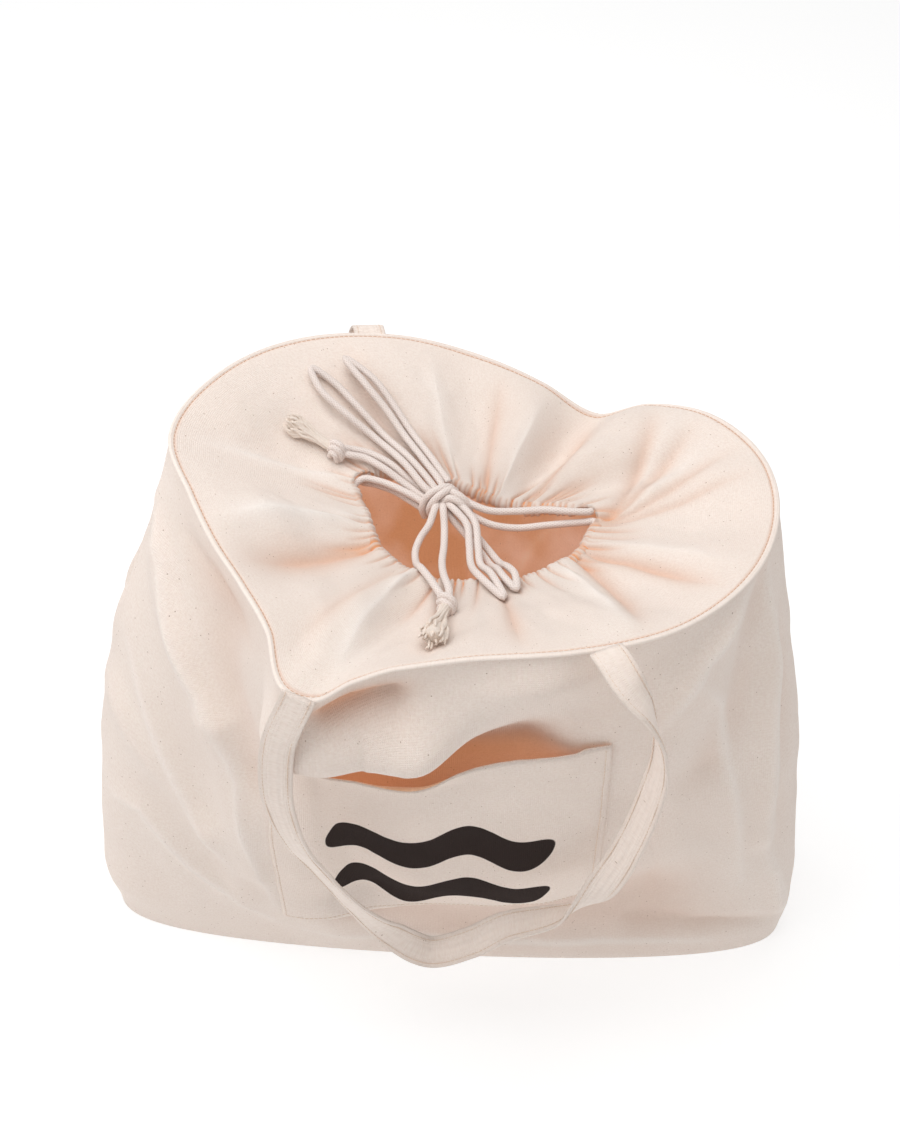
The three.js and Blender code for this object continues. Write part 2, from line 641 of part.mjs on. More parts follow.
// A flat strap along a route, turned so that its face looks the way that the rows say.
function strap(rows) {
  const curve = new THREE.CatmullRomCurve3(rows.map((row) => vector(row.at)));
  const rings = [];
  for (let k = 0; k <= STRAP_STEPS; k += 1) {
    const t = k / STRAP_STEPS;
    const place = t * (rows.length - 1);
    const index = Math.min(Math.floor(place), rows.length - 2);
    const face = vector(rows[index].face).lerp(vector(rows[index + 1].face), place - index);
    const centre = curve.getPoint(t);
    const run = curve.getTangent(t);
    const aside = run.clone().cross(face).normalize();
    const out = aside.clone().cross(run).normalize();
    const corner = (w, d) => centre.clone()
      .addScaledVector(aside, (w * STRAP_WIDTH) / 2)
      .addScaledVector(out, (d * STRAP_THICKNESS) / 2);
    rings.push([corner(1, 1), corner(-1, 1), corner(-1, -1), corner(1, -1)].reverse());
  }
  return loft(rings);
}

function cordTube(points, steps) {
  const section = [];
  for (let i = 0; i < CORD_SIDES; i += 1) {
    const angle = (2 * Math.PI * i) / CORD_SIDES;
    section.push(new THREE.Vector2(Math.cos(angle), Math.sin(angle)).multiplyScalar(CORD_DIAMETER / 2));
  }
  const extrudePath = new THREE.CatmullRomCurve3(points);
  return new THREE.ExtrudeGeometry(new THREE.Shape(section), { steps, extrudePath, bevelEnabled: false });
}

// The strand of a bow loop: out on one side of the spine, round the tip and back on the other side.
function loopRoute({ spine, half }) {
  const points = spine.map(vector);
  const side = (sign) => points.slice(0, -1).map((p, k) => {
    const run = points[k + 1].clone().sub(points[Math.max(k - 1, 0)]);
    const aside = new THREE.Vector3(-run.y, run.x, 0).normalize();
    return p.clone().addScaledVector(aside, sign * half[k]);
  });
  return [...side(1), points[points.length - 1], ...side(-1).reverse()];
}

// A knot: a rounded lump with the ridges of the cord wound round it.
function knot(radius, centre, axis, ridges, sides) {
  const geometry = new THREE.SphereGeometry(radius, sides, Math.ceil(sides / 2) + 1);
  const positions = geometry.getAttribute('position');
  const pole = new THREE.Vector3(0, 1, 0);
  const turn = new THREE.Quaternion().setFromUnitVectors(pole, vector(axis).normalize());
  for (let k = 0; k < positions.count; k += 1) {
    const p = new THREE.Vector3().fromBufferAttribute(positions, k);
    const round = Math.atan2(p.z, p.x);
    const waist = 1 - Math.abs(p.y) / radius;
    p.multiplyScalar(1 + 0.07 * waist * Math.sin(ridges * round + (3 * p.y) / radius));
    p.applyQuaternion(turn).add(vector(centre));
    positions.setXYZ(k, p.x, p.y, p.z);
  }
  geometry.deleteAttribute('normal');
  geometry.deleteAttribute('uv');
  return mergeVertices(geometry, 0.001);
}

// A frayed cord end: locks fused side by side, spreading from a slim head to a ragged tip.
function tassel({ from, to, slim, wide }) {
  const locks = 6;
  const axis = vector(to).sub(vector(from));
  const out = new THREE.Vector3(0, 0, 1).cross(axis).normalize();
  const up = axis.clone().normalize().cross(out);
  const rings = [0, 0.25, 0.55, 0.85, 1].map((share) => {
    const ring = [];
    const radius = mix(slim, wide, Math.sin((share * Math.PI) / 2)) * (share === 1 ? 0.75 : 1);
    for (let i = 0; i < locks * 2; i += 1) {
      const angle = (Math.PI * i) / locks;
      const valley = i % 2 === 0 ? 1 : 1 - 0.22 * share;
      ring.push(vector(from).addScaledVector(axis, share)
        .addScaledVector(out, radius * valley * Math.cos(angle))
        .addScaledVector(up, 0.7 * radius * valley * Math.sin(angle)));
    }
    return ring;
  });
  return loft(rings);
}

const bag = new THREE.Group();
bag.add(
  part('front_panel', panelWall(frontSurface, FRONT_GRID, PANEL_WIDTH), canvas),
  part('back_panel', panelWall(backSurface, BACK_GRID, PANEL_WIDTH), canvas),
  part('base_panel', basePanel(), canvas),
  part('collar', collarWall(), canvas),
  part('front_pocket', pocketWall(), canvas),
  part('channel_front', tunnel(LEFT_EXIT + EXIT_HALF_GAP, RIGHT_EXIT - EXIT_HALF_GAP, 15), canvasHem),
  part('channel_back', tunnel(RIGHT_EXIT + EXIT_HALF_GAP, LEFT_EXIT + 360 - EXIT_HALF_GAP, 11), canvasHem),
  part('handle_front', strap(FRONT_STRAP), canvas),
  part('handle_back', strap(BACK_STRAP), canvas),
);

// The drawcord: hidden stretches in the two tunnels, then the strands, the bow and its ends.
const hiddenCord = (start, end, stations) => {
  const points = [];
  for (let k = 0; k <= stations; k += 1) points.push(mouthPoint(mix(start, end, k / stations)));
  return points;
};
const TUNNEL_END = EXIT_HALF_GAP + 1;
const inFront = hiddenCord(LEFT_EXIT + TUNNEL_END, RIGHT_EXIT - TUNNEL_END, 20);
const inBack = hiddenCord(RIGHT_EXIT + TUNNEL_END, LEFT_EXIT + 360 - TUNNEL_END, 14);
bag.add(
  part('cord_in_front', cordTube(inFront, 13), cordCotton),
  part('cord_in_back', cordTube(inBack, 9), cordCotton),
  part('bow_knot', knot(KNOT_RADIUS, KNOT_CENTRE, [1, -0.2, 0.3], 3, 14), cordCotton),
);
for (const { name, steps, route } of STRANDS) {
  bag.add(part(name, cordTube(route.map(vector), steps), cordCotton));
}
for (const loop of LOOPS) {
  bag.add(part(loop.name, cordTube(loopRoute(loop), loop.steps), cordCotton));
}
for (const { name, at, axis } of STOPPERS) {
  bag.add(part(name, knot(STOPPER_RADIUS, at, axis, 2, 10), cordCotton));
}
for (const row of TASSELS) {
  bag.add(part(row.name, tassel(row), cordCotton));
}

export default bag;
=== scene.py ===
"""Looks of a drawstring shopper bag in unbleached cotton canvas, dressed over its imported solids.

Sizes in the tables are millimetres in the part's own frame: +X right, -Y front, +Z up, floor at 0.
"""

import logging
import math
from collections.abc import Callable, Sequence
from dataclasses import dataclass, field, replace
from enum import Enum
from typing import NamedTuple

import bmesh
import bpy
import numpy as np
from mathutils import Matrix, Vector

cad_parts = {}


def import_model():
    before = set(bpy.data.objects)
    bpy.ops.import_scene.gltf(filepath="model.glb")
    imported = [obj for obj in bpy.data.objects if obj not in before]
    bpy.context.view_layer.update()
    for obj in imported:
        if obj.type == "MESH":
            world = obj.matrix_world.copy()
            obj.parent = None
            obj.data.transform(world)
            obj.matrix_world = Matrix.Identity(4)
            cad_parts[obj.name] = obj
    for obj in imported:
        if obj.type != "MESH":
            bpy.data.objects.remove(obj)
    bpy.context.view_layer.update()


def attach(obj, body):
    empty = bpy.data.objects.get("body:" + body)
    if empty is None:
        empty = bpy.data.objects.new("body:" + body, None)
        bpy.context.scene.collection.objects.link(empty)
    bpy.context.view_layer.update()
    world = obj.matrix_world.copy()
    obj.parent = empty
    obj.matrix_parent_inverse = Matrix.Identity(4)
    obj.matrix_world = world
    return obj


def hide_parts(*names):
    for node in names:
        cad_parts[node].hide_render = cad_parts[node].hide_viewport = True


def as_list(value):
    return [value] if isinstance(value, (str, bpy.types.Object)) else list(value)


LOG = logging.getLogger("shopper_bag")
MM = 0.001
Curve = Callable[[np.ndarray], np.ndarray]
Place = Callable[[np.ndarray, np.ndarray], np.ndarray]
Spot = tuple[float, float]
Point = tuple[float, float, float]
Inputs = dict[str | int, object]


class Slot(Enum):
    """The record's material slots."""

    CANVAS = "canvas"
    PRINTED = "printed_canvas"
    CORD = "cotton_cord"


class RingRow(NamedTuple):
    """A point of a closed outline, by its bearing from the outline's centre."""

    bearing: float
    reach: float
    rise: float


class Fold(NamedTuple):
    """A ridge, or a hollow where depth is negative, along a line on a flat panel."""

    start: Spot
    end: Spot
    depth: float
    width: float


class Crease(NamedTuple):
    """A crisp line on a flat panel: a ridge, or a valley where depth is negative."""

    points: tuple[Spot, ...]
    depth: float
    width: float
    highlight_width: float = 3.4

    def height(self, a: np.ndarray, b: np.ndarray) -> np.ndarray:
        """Find the crease's height, which fades to both of its ends.

        Args:
            a: First flat coordinate, in millimetres.
            b: Second flat coordinate, in millimetres.

        Returns:
            The height at each point.
        """
        off, fade = self.reach(a, b)
        return self.depth * fade * np.exp(-((off / self.width) ** 1.25))

    def highlight_share(self, a: np.ndarray, b: np.ndarray) -> np.ndarray:
        """Rise to one along a ridge's own line, where a highlight is painted, and give nothing along a
        valley.
        """
        off, fade = self.reach(a, b)
        return fade * np.exp(-((off / self.highlight_width) ** 2)) * (self.depth > 0)

    def reach(self, a: np.ndarray, b: np.ndarray) -> tuple[np.ndarray, np.ndarray]:
        """Measure points against the line.

        Args:
            a: First flat coordinate, in millimetres.
            b: Second flat coordinate, in millimetres.

        Returns:
            The distance to the line, and a share that fades to both of its ends.
        """
        nearest = np.full(a.shape, np.inf)
        fade = np.zeros(a.shape)
        count = len(self.points) - 1
        for k in range(count):
            share, off = from_segment(a, b, self.points[k], self.points[k + 1])
            fade = np.where(off < nearest, np.sin(math.pi * (0.1 + 0.8 * (k + share) / count)), fade)
            nearest = np.minimum(nearest, off)
        return nearest, fade


class CollarFold(NamedTuple):
    """A long fold of the collar, from a bearing at the mouth to a bearing at the rim."""

    mouth: float
    rim: float
    depth: float
    width: float


class StrapRow(NamedTuple):
    """A point in the middle of a strap, and the way that its outer face looks there."""

    at: Point
    face: Point


# The body's sizes.
RIM_HEIGHT = 400.0
PANEL_WIDTH = 600.0
CANVAS_MM = 1.5
BASE_HALF_LENGTH = 260.0
BASE_HALF_DEPTH = 78.0
BASE_ENDS = 0.38
WALL_BULGE = 14.0
LEFT_SEAM = 167.0
RIGHT_SEAM = 371.0
LEFT_EXIT = 151.0
RIGHT_EXIT = 373.0
EXIT_HALF_GAP = 8.0
MOUTH_HEIGHT = 360.0
TUNNEL_RADIUS = 5.2
CORD_MM = 5.0
CORD_SIDES = 16
POCKET_LEFT = 183.3
POCKET_RIGHT = 403.3
POCKET_TOP = (306.0, 302.0)

# The cloth's unevenness: how many waves cross, and the walls' lengths and heights of waves.
RUMPLE_WAVES = 9
WALL_WAVES = (((60, 190), 1.3), ((22, 60), 0.4), ((9, 24), 0.1))

# The outlines of the rim and of the mouth, by bearings that go on past 360.
RIM_ROWS = (
    RingRow(167, 206, 8),
    RingRow(182, 181, 2),
    RingRow(197, 166, -4),
    RingRow(211, 160, -6),
    RingRow(226, 167, -8),
    RingRow(237, 189, -16),
    RingRow(243, 184, -20),
    RingRow(248, 166, -14),
    RingRow(257, 150, -8),
    RingRow(276, 140, -4),
    RingRow(298, 153, 0),
    RingRow(323, 178, 0),
    RingRow(348, 198, 0),
    RingRow(371, 204, 0),
    RingRow(390, 193, -4),
    RingRow(404, 172, -14),
    RingRow(414, 150, -26),
    RingRow(430, 145, -12),
    RingRow(450, 155, -2),
    RingRow(470, 174, 6),
    RingRow(492, 198, 10),
    RingRow(510, 206, 12),
)
MOUTH_ROWS = (
    RingRow(151, 94, 4),
    RingRow(174, 75, 2.5),
    RingRow(208, 64, 1),
    RingRow(245, 56, 1),
    RingRow(270, 51.5, 1),
    RingRow(291, 54.5, 1),
    RingRow(323, 63.5, 1.5),
    RingRow(339, 71, 2),
    RingRow(355, 78.5, 3),
    RingRow(373, 83, 4),
    RingRow(383, 70, 1),
    RingRow(392, 57, -1.5),
    RingRow(402, 48, -3),
    RingRow(422, 41.5, -3.5),
    RingRow(441, 43, -3),
    RingRow(455, 47.5, -2),
    RingRow(472, 58, -0.5),
    RingRow(491, 77, 1.5),
)
# Folds and creases of the walls, by distance from the first seam and height.
FRONT_FOLDS = (
    Fold((0, 40), (0, 250), 13, 70),
    Fold((222, 337), (285, 328), 25, 28),
    Fold((285, 328), (362, 380), 10, 26),
    Fold((222, 298), (238, 110), -22, 34),
    Fold((238, 377), (274, 371), -14, 11),
    Fold((300, 70), (430, 80), -15, 55),
    Fold((40, 340), (125, 266), 8, 17),
    Fold((125, 266), (163, 130), 7, 15),
    Fold((120, 340), (160, 240), -9, 24),
    Fold((32, 215), (130, 158), 7, 17),
    Fold((130, 158), (156, 84), 5, 14),
    Fold((486, 392), (431, 290), 6, 20),
    Fold((516, 385), (478, 250), -8, 22),
    Fold((512, 340), (524, 150), 6, 16),
    Fold((442, 57), (547, 32), -4, 11),
)
POCKET_HOLLOW = Fold((225, 286), (350, 306), -17, 24)
FRONT_CREASES = (
    Crease(
        ((12, 364), (50, 345), (70, 322), (102, 296), (133, 271), (153, 221), (172, 140), (180, 84)),
        8.5,
        10,
    ),
    Crease(((36, 266), (67, 226), (106, 179), (147, 124)), 4.5, 9),
    Crease(((46, 134), (67, 142), (108, 100), (145, 83), (172, 54)), 7.0, 9),
    Crease(((60, 372), (102, 376), (150, 362)), -6.0, 15),
    Crease(((500, 394), (457, 365), (428, 312)), 6.5, 9),
    Crease(((530, 386), (524, 340), (519, 284), (521, 191), (534, 100)), 7.0, 9),
    Crease(((542, 340), (546, 267), (538, 195), (541, 106)), -5.0, 8),
    Crease(((452, 350), (477, 309), (495, 202), (513, 101)), 4.5, 10),
    Crease(((536, 120), (548, 60), (558, 8)), 7.0, 9),
    Crease(((476, 44), (505, 43), (534, 36)), -3.0, 6),
    Crease(((424, 239), (446, 139), (444, 48)), -2.0, 9),
    Crease(((196, 44), (305, 26), (416, 30), (500, 22)), 1.6, 8),
    Crease(((6, 330), (10, 240), (14, 150)), 3.0, 8),
)
BACK_CREASES = (
    Crease(((160, 350), (240, 250), (300, 120)), 4.0, 12),
    Crease(((420, 360), (390, 250), (400, 120)), 4.5, 12),
    Crease(((250, 300), (330, 220), (350, 120)), -4.0, 12),
    Crease(((480, 330), (470, 210), (440, 90)), -4.0, 13),
    Crease(((90, 330), (110, 210), (160, 90)), 4.0, 12),
)
BACK_FOLDS = (
    Fold((600, 40), (600, 250), 13, 70),
    Fold((150, 392), (190, 215), -17, 34),
    Fold((92, 372), (70, 190), 8, 22),
    Fold((215, 380), (300, 190), 9, 24),
    Fold((430, 385), (360, 220), 9, 26),
    Fold((230, 150), (420, 140), -10, 42),
    Fold((505, 345), (530, 150), -8, 22),
)
# Broad folds of the collar: at the mouth's bearing, then at the rim's.
COLLAR_FOLDS = (
    CollarFold(152, 168, -6, 6),
    CollarFold(176, 190, 5, 9),
    CollarFold(200, 208, -5, 8),
    CollarFold(226, 240, 8, 9),
    CollarFold(243, 258, -6, 8),
    CollarFold(262, 270, -3, 9),
    CollarFold(288, 290, 4, 8),
    CollarFold(312, 312, 6, 9),
    CollarFold(336, 326, -6, 7),
    CollarFold(352, 344, 5, 7),
    CollarFold(366, 358, -4, 7),
    CollarFold(378, 372, 5, 6),
    CollarFold(386, 382, -4, 6),
    CollarFold(394, 394, 6, 7),
    CollarFold(404, 405, 12, 8),
    CollarFold(412, 417, -9, 7),
    CollarFold(430, 431, 8, 9),
    CollarFold(452, 452, -5, 9),
    CollarFold(476, 474, 5, 10),
)
# The two handles from one end to the other.
FRONT_STRAP = (
    StrapRow((-82.6, -159, 382.6), (-0.08, -0.97, 0.2)),
    StrapRow((-84, -160.5, 379), (-0.1, -0.97, 0.2)),
    StrapRow((-95, -169.5, 353), (-0.1, -0.97, 0.15)),
    StrapRow((-99, -172.5, 320), (-0.1, -0.95, 0.2)),
    StrapRow((-98, -171, 284), (-0.3, -0.87, 0.35)),
    StrapRow((-90, -166, 243), (-0.5, -0.75, 0.4)),
    StrapRow((-77, -160, 208), (-0.62, -0.65, 0.45)),
    StrapRow((-57, -155, 166), (-0.6, -0.6, 0.52)),
    StrapRow((-33, -151, 130), (-0.45, -0.55, 0.7)),
    StrapRow((-6, -148, 106), (-0.02, -0.55, 0.84)),
    StrapRow((22, -147, 118), (-0.2, -0.6, 0.77)),
    StrapRow((47, -146, 138), (-0.35, -0.3, 0.86)),
    StrapRow((71, -146, 148), (-0.35, 0, 0.9)),
    StrapRow((88, -146.6, 158), (-0.2, 0.3, 0.9)),
    StrapRow((101, -148.2, 175), (-0.1, 0.8, 0.5)),
    StrapRow((112, -150, 200), (0.5, 0.82, 0.05)),
    StrapRow((123.5, -153, 239), (0.8, 0.6, 0.15)),
    StrapRow((132, -156, 283), (0.78, 0.62, 0.1)),
    StrapRow((137, -158.5, 325), (0.85, 0.5, 0.1)),
    StrapRow((135, -160, 356), (0.95, 0.3, 0.1)),
    StrapRow((127, -158, 380), (0.93, -0.1, 0.3)),
    StrapRow((120, -155, 389), (0.6, -0.45, 0.6)),
    StrapRow((114, -150.5, 396), (0.05, -0.6, 0.8)),
    StrapRow((105, -138, 402.4), (-0.1, -0.2, 1)),
    StrapRow((100.5, -129.6, 402), (0, 0.05, 1)),
)
BACK_STRAP = (
    StrapRow((-65, 163.5, 402), (0, -0.3, 0.95)),
    StrapRow((-66, 168, 406.4), (0, -0.3, 0.95)),
    StrapRow((-68, 174.5, 407.6), (0, 0.4, 0.9)),
    StrapRow((-70.5, 180, 401.5), (-0.03, 0.85, 0.5)),
    StrapRow((-73, 182.5, 392), (-0.05, 0.97, 0.2)),
    StrapRow((-79, 187, 362), (-0.1, 0.99, 0.1)),
    StrapRow((-84, 187, 320), (-0.2, 0.96, 0.2)),
    StrapRow((-80, 181, 276), (-0.4, 0.85, 0.3)),
    StrapRow((-68, 174, 232), (-0.6, 0.7, 0.4)),
    StrapRow((-48, 167, 188), (-0.6, 0.6, 0.52)),
    StrapRow((-24, 161, 152), (-0.4, 0.5, 0.75)),
    StrapRow((4, 157, 138), (0.05, 0.45, 0.9)),
    StrapRow((32, 156, 150), (0.4, 0.5, 0.75)),
    StrapRow((56, 157, 184), (0.6, 0.65, 0.45)),
    StrapRow((70, 159, 226), (0.6, 0.72, 0.3)),
    StrapRow((78, 161, 272), (0.45, 0.87, 0.2)),
    StrapRow((81, 160, 318), (0.2, 0.96, 0.15)),
    StrapRow((80, 153, 345), (0.25, 0.93, 0.25)),
    StrapRow((78.6, 146.5, 357.5), (0.35, 0.88, 0.3)),
    StrapRow((77.9, 141.4, 366), (0.4, 0.85, 0.3)),
    StrapRow((77.2, 138.4, 371.8), (0.4, 0.85, 0.3)),
)


def linear(colour: str) -> tuple[float, float, float, float]:
    """Turn an sRGB hex colour to linear light.

    Args:
        colour: Six hex digits with a leading hash.

    Returns:
        Red, green, blue and an alpha of one.
    """
    parts = [int(colour[k : k + 2], 16) / 255 for k in (1, 3, 5)]
    light = [c / 12.92 if c <= 0.04045 else ((c + 0.055) / 1.055) ** 2.4 for c in parts]
    return (light[0], light[1], light[2], 1.0)


def smooth(x: np.ndarray, low: float, high: float) -> np.ndarray:
    """Rise smoothly from 0 at low to 1 at high."""
    t = np.clip((x - low) / (high - low), 0, 1)
    return t * t * (3 - 2 * t)


def unit(vectors: np.ndarray) -> np.ndarray:
    """Scale each row to a length of one."""
    return vectors / np.maximum(np.linalg.norm(vectors, axis=-1, keepdims=True), 1e-9)


def turned_from(bearing: np.ndarray, other: np.ndarray | float) -> np.ndarray:
    """Give the turn from one bearing to another, from -180 to 180 degrees."""
    return np.mod(bearing - other + 180, 360) - 180


def from_segment(
    a: np.ndarray, b: np.ndarray, start: Spot, end: Spot
) -> tuple[np.ndarray, np.ndarray]:
    """Measure points against a straight line on a flat panel.

    Args:
        a: First flat coordinate, in millimetres.
        b: Second flat coordinate, in millimetres.
        start: One end of the line.
        end: The other end.

    Returns:
        The share of the way along the line, and the distance from it.
    """
    way = np.subtract(end, start)
    share = ((a - start[0]) * way[0] + (b - start[1]) * way[1]) / float(way @ way)
    share = np.clip(share, 0, 1)
    return share, np.hypot(a - start[0] - share * way[0], b - start[1] - share * way[1])


def rumple(
    a: np.ndarray, b: np.ndarray, seed: int, lengths: tuple[float, float], height: float
) -> np.ndarray:
    """Give soft unevenness to a cloth from a few crossing waves.

    Args:
        a: First flat coordinate, in millimetres.
        b: Second flat coordinate, in millimetres.
        seed: Picks the waves.
        lengths: Shortest and longest wave.
        height: Usual height of the unevenness.

    Returns:
        The height at each point.
    """
    rng = np.random.default_rng(seed)
    total = np.zeros_like(a)
    for _ in range(RUMPLE_WAVES):
        turn, start = rng.uniform(0, math.pi), rng.uniform(0, 2 * math.pi)
        along = a * math.cos(turn) + b * math.sin(turn)
        total += np.sin(2 * math.pi * along / rng.uniform(*lengths) + start)
    return height * total / math.sqrt(RUMPLE_WAVES)


def hermite(
    t: np.ndarray, start: np.ndarray, leave: np.ndarray, end: np.ndarray, arrive: np.ndarray
) -> np.ndarray:
    """Go from one value to another on a cubic curve.

    Args:
        t: Share of the way, from 0 to 1.
        start: The first value.
        leave: The slope at the start.
        end: The last value.
        arrive: The slope at the end.

    Returns:
        The value at each share.
    """
    return (
        (2 * t**3 - 3 * t**2 + 1) * start
        + (t**3 - 2 * t**2 + t) * leave
        + (3 * t**2 - 2 * t**3) * end
        + (t**3 - t**2) * arrive
    )


def catmull(points: Sequence[Point], count: int) -> np.ndarray:
    """Draw a centripetal Catmull-Rom curve through points, evenly spaced along its length.

    Args:
        points: Where the curve goes.
        count: How many points to return.

    Returns:
        The curve's points.
    """
    p = np.asarray(points, float)
    p = np.vstack([2 * p[0] - p[1], p, 2 * p[-1] - p[-2]])
    t = np.linspace(0, 1, 24, endpoint=False)[:, None]
    runs = []
    for k in range(1, len(p) - 2):
        p0, p1, p2, p3 = p[k - 1 : k + 3]
        d0, d1, d2 = (max(np.linalg.norm(q), 1e-6) ** 0.5 for q in (p1 - p0, p2 - p1, p3 - p2))
        leave = ((p1 - p0) / d0 - (p2 - p0) / (d0 + d1) + (p2 - p1) / d1) * d1
        arrive = ((p2 - p1) / d1 - (p3 - p1) / (d1 + d2) + (p3 - p2) / d2) * d1
        runs.append(hermite(t, p1, leave, p2, arrive))
    return even(np.vstack([*runs, p[-2]]), count)


def far_along(line: np.ndarray) -> np.ndarray:
    """Give the distance along a line at each of its points."""
    return np.concatenate([[0], np.cumsum(np.linalg.norm(np.diff(line, axis=0), axis=1))])


def even_like(line: np.ndarray, values: np.ndarray, count: int) -> np.ndarray:
    """Sample values that belong to a line's points at even spaces along the line.

    Args:
        line: The line's points.
        values: A row of three for each of them.
        count: How many rows to return.

    Returns:
        The values at even spaces.
    """
    far = far_along(line)
    wanted = np.linspace(0, far[-1], count)
    return np.stack([np.interp(wanted, far, values[:, k]) for k in range(3)], axis=1)


def even(line: np.ndarray, count: int) -> np.ndarray:
    """Space a line's points evenly along its length."""
    return even_like(line, line, count)


def run_length(line: np.ndarray) -> float:
    """Give the length of a line of points."""
    return float(np.linalg.norm(np.diff(line, axis=0), axis=1).sum())


@dataclass(frozen=True)
class Ring:
    """A closed outline on a smooth curve through its rows."""

    centre: Spot
    level: float
    rows: tuple[RingRow, ...]

    def column(self, name: str, bearing: np.ndarray) -> np.ndarray:
        """Read a column at bearings, on a closed cubic curve.

        Args:
            name: reach or rise.
            bearing: Bearings in degrees.

        Returns:
            The column's value at each bearing.
        """
        at = np.array([r.bearing for r in self.rows], float)
        value = np.array([getattr(r, name) for r in self.rows], float)
        local = at[0] + np.mod(bearing - at[0], 360)
        k = np.searchsorted(at, local, side="right") - 1
        at = np.concatenate([[at[-1] - 360], at, at[:2] + 360])
        value = np.concatenate([[value[-1]], value, value[:2]])
        span = at[k + 2] - at[k + 1]
        leave = (value[k + 2] - value[k]) / (at[k + 2] - at[k]) * span
        arrive = (value[k + 3] - value[k + 1]) / (at[k + 3] - at[k + 1]) * span
        return hermite((local - at[k + 1]) / span, value[k + 1], leave, value[k + 2], arrive)

    def points(self, bearing: np.ndarray) -> np.ndarray:
        """Find points of the outline.

        Args:
            bearing: Bearings from its centre, in degrees.

        Returns:
            The points, in millimetres.
        """
        reach, angle = self.column("reach", bearing), np.radians(bearing)
        x = self.centre[0] + reach * np.cos(angle)
        y = self.centre[1] + reach * np.sin(angle)
        return np.stack([x, y, self.level + self.column("rise", bearing)], axis=-1)

    def frame(self, bearing: np.ndarray) -> tuple[np.ndarray, np.ndarray, np.ndarray]:
        """Find points of the outline with their directions.

        Args:
            bearing: Bearings from its centre, in degrees.

        Returns:
            The points, the ways out of the outline, and the ways up.
        """
        run = unit(self.points(bearing + 0.5) - self.points(bearing - 0.5))
        aside = unit(np.cross(run, [0.0, 0.0, 1.0]))
        return self.points(bearing), aside, np.cross(aside, run)


RIM = Ring((10, 5), RIM_HEIGHT, RIM_ROWS)
MOUTH = Ring((15, 12), MOUTH_HEIGHT, MOUTH_ROWS)


def base_points(half_turns: np.ndarray) -> np.ndarray:
    """Find points of the floor outline, a long rounded box.

    Args:
        half_turns: 0 at the left end, by the front to 1 at the right end, and by the back to 2.

    Returns:
        The points, in millimetres.
    """
    whole = np.floor(half_turns)
    share = half_turns - whole
    near, far = share ** (1 / BASE_ENDS), (1 - share) ** (1 / BASE_ENDS)
    angle = math.pi * near / (near + far)
    sign = np.where(np.mod(whole, 2) == 0, -1.0, 1.0)
    x = sign * BASE_HALF_LENGTH * np.cos(angle)
    y = sign * BASE_HALF_DEPTH * np.abs(np.sin(angle)) ** BASE_ENDS
    return np.stack([x, y, np.zeros_like(x)], axis=-1)


def by_length(points_at: Curve, start: float, end: float) -> tuple[np.ndarray, np.ndarray]:
    """Tabulate a curve's parameter against the share of its length.

    Args:
        points_at: The curve.
        start: Its first parameter.
        end: Its last parameter.

    Returns:
        Shares from 0 to 1, and the parameters there.
    """
    held = np.minimum(np.linspace(start, end, 1201), end - 1e-9)
    far = far_along(points_at(held))
    return far / far[-1], held


class Finish:
    """A material under construction, with the shader that every finish starts from."""

    def __init__(self, name: str, roughness: float, sheen: float, specular: float = 0.25) -> None:
        """Make the material and its shader.

        Args:
            name: The real material's name.
            roughness: The shader's roughness.
            sheen: The weight of the cloth sheen.
            specular: The level of the shine.
        """
        self.material = bpy.data.materials.new(name)
        self.material.use_nodes = True
        self.tree = self.material.node_tree
        self.shader = self.tree.nodes["Principled BSDF"]
        self.shader.inputs["Roughness"].default_value = roughness
        self.shader.inputs["IOR"].default_value = 1.46
        self.shader.inputs["Specular IOR Level"].default_value = specular
        self.shader.inputs["Sheen Weight"].default_value = sheen
        self.shader.inputs["Sheen Roughness"].default_value = 0.5

    def add(
        self, kind: str, inputs: Inputs | None = None, out: str | int = 0, **settings: object
    ) -> bpy.types.NodeSocket:
        """Add a node with its settings, values and links.

        Args:
            kind: The node's type, after the prefix that all shader nodes have.
            inputs: Values, or sockets to link from, by input name or number.
            out: The output that is wanted.
            **settings: The node's own properties.

        Returns:
            That output.
        """
        node = self.tree.nodes.new("ShaderNode" + kind)
        for key, value in settings.items():
            setattr(node, key, value)
        for key, value in (inputs or {}).items():
            if isinstance(value, bpy.types.NodeSocket):
                self.tree.links.new(value, node.inputs[key])
            else:
                node.inputs[key].default_value = value
        return node.outputs[out]

    def done(
        self, colour: bpy.types.NodeSocket, height: bpy.types.NodeSocket, depth_mm: float
    ) -> bpy.types.Material:
        """Join the colour and the relief to the shader.

        Args:
            colour: The base colour.
            height: The relief, from 0 to 1.
            depth_mm: The relief's real depth.

        Returns:
            The finished material.
        """
        bump = self.add("Bump", {"Height": height, "Distance": depth_mm * MM, "Strength": 1.0})
        self.tree.links.new(colour, self.shader.inputs["Base Color"])
        self.tree.links.new(bump, self.shader.inputs["Normal"])
        return self.material


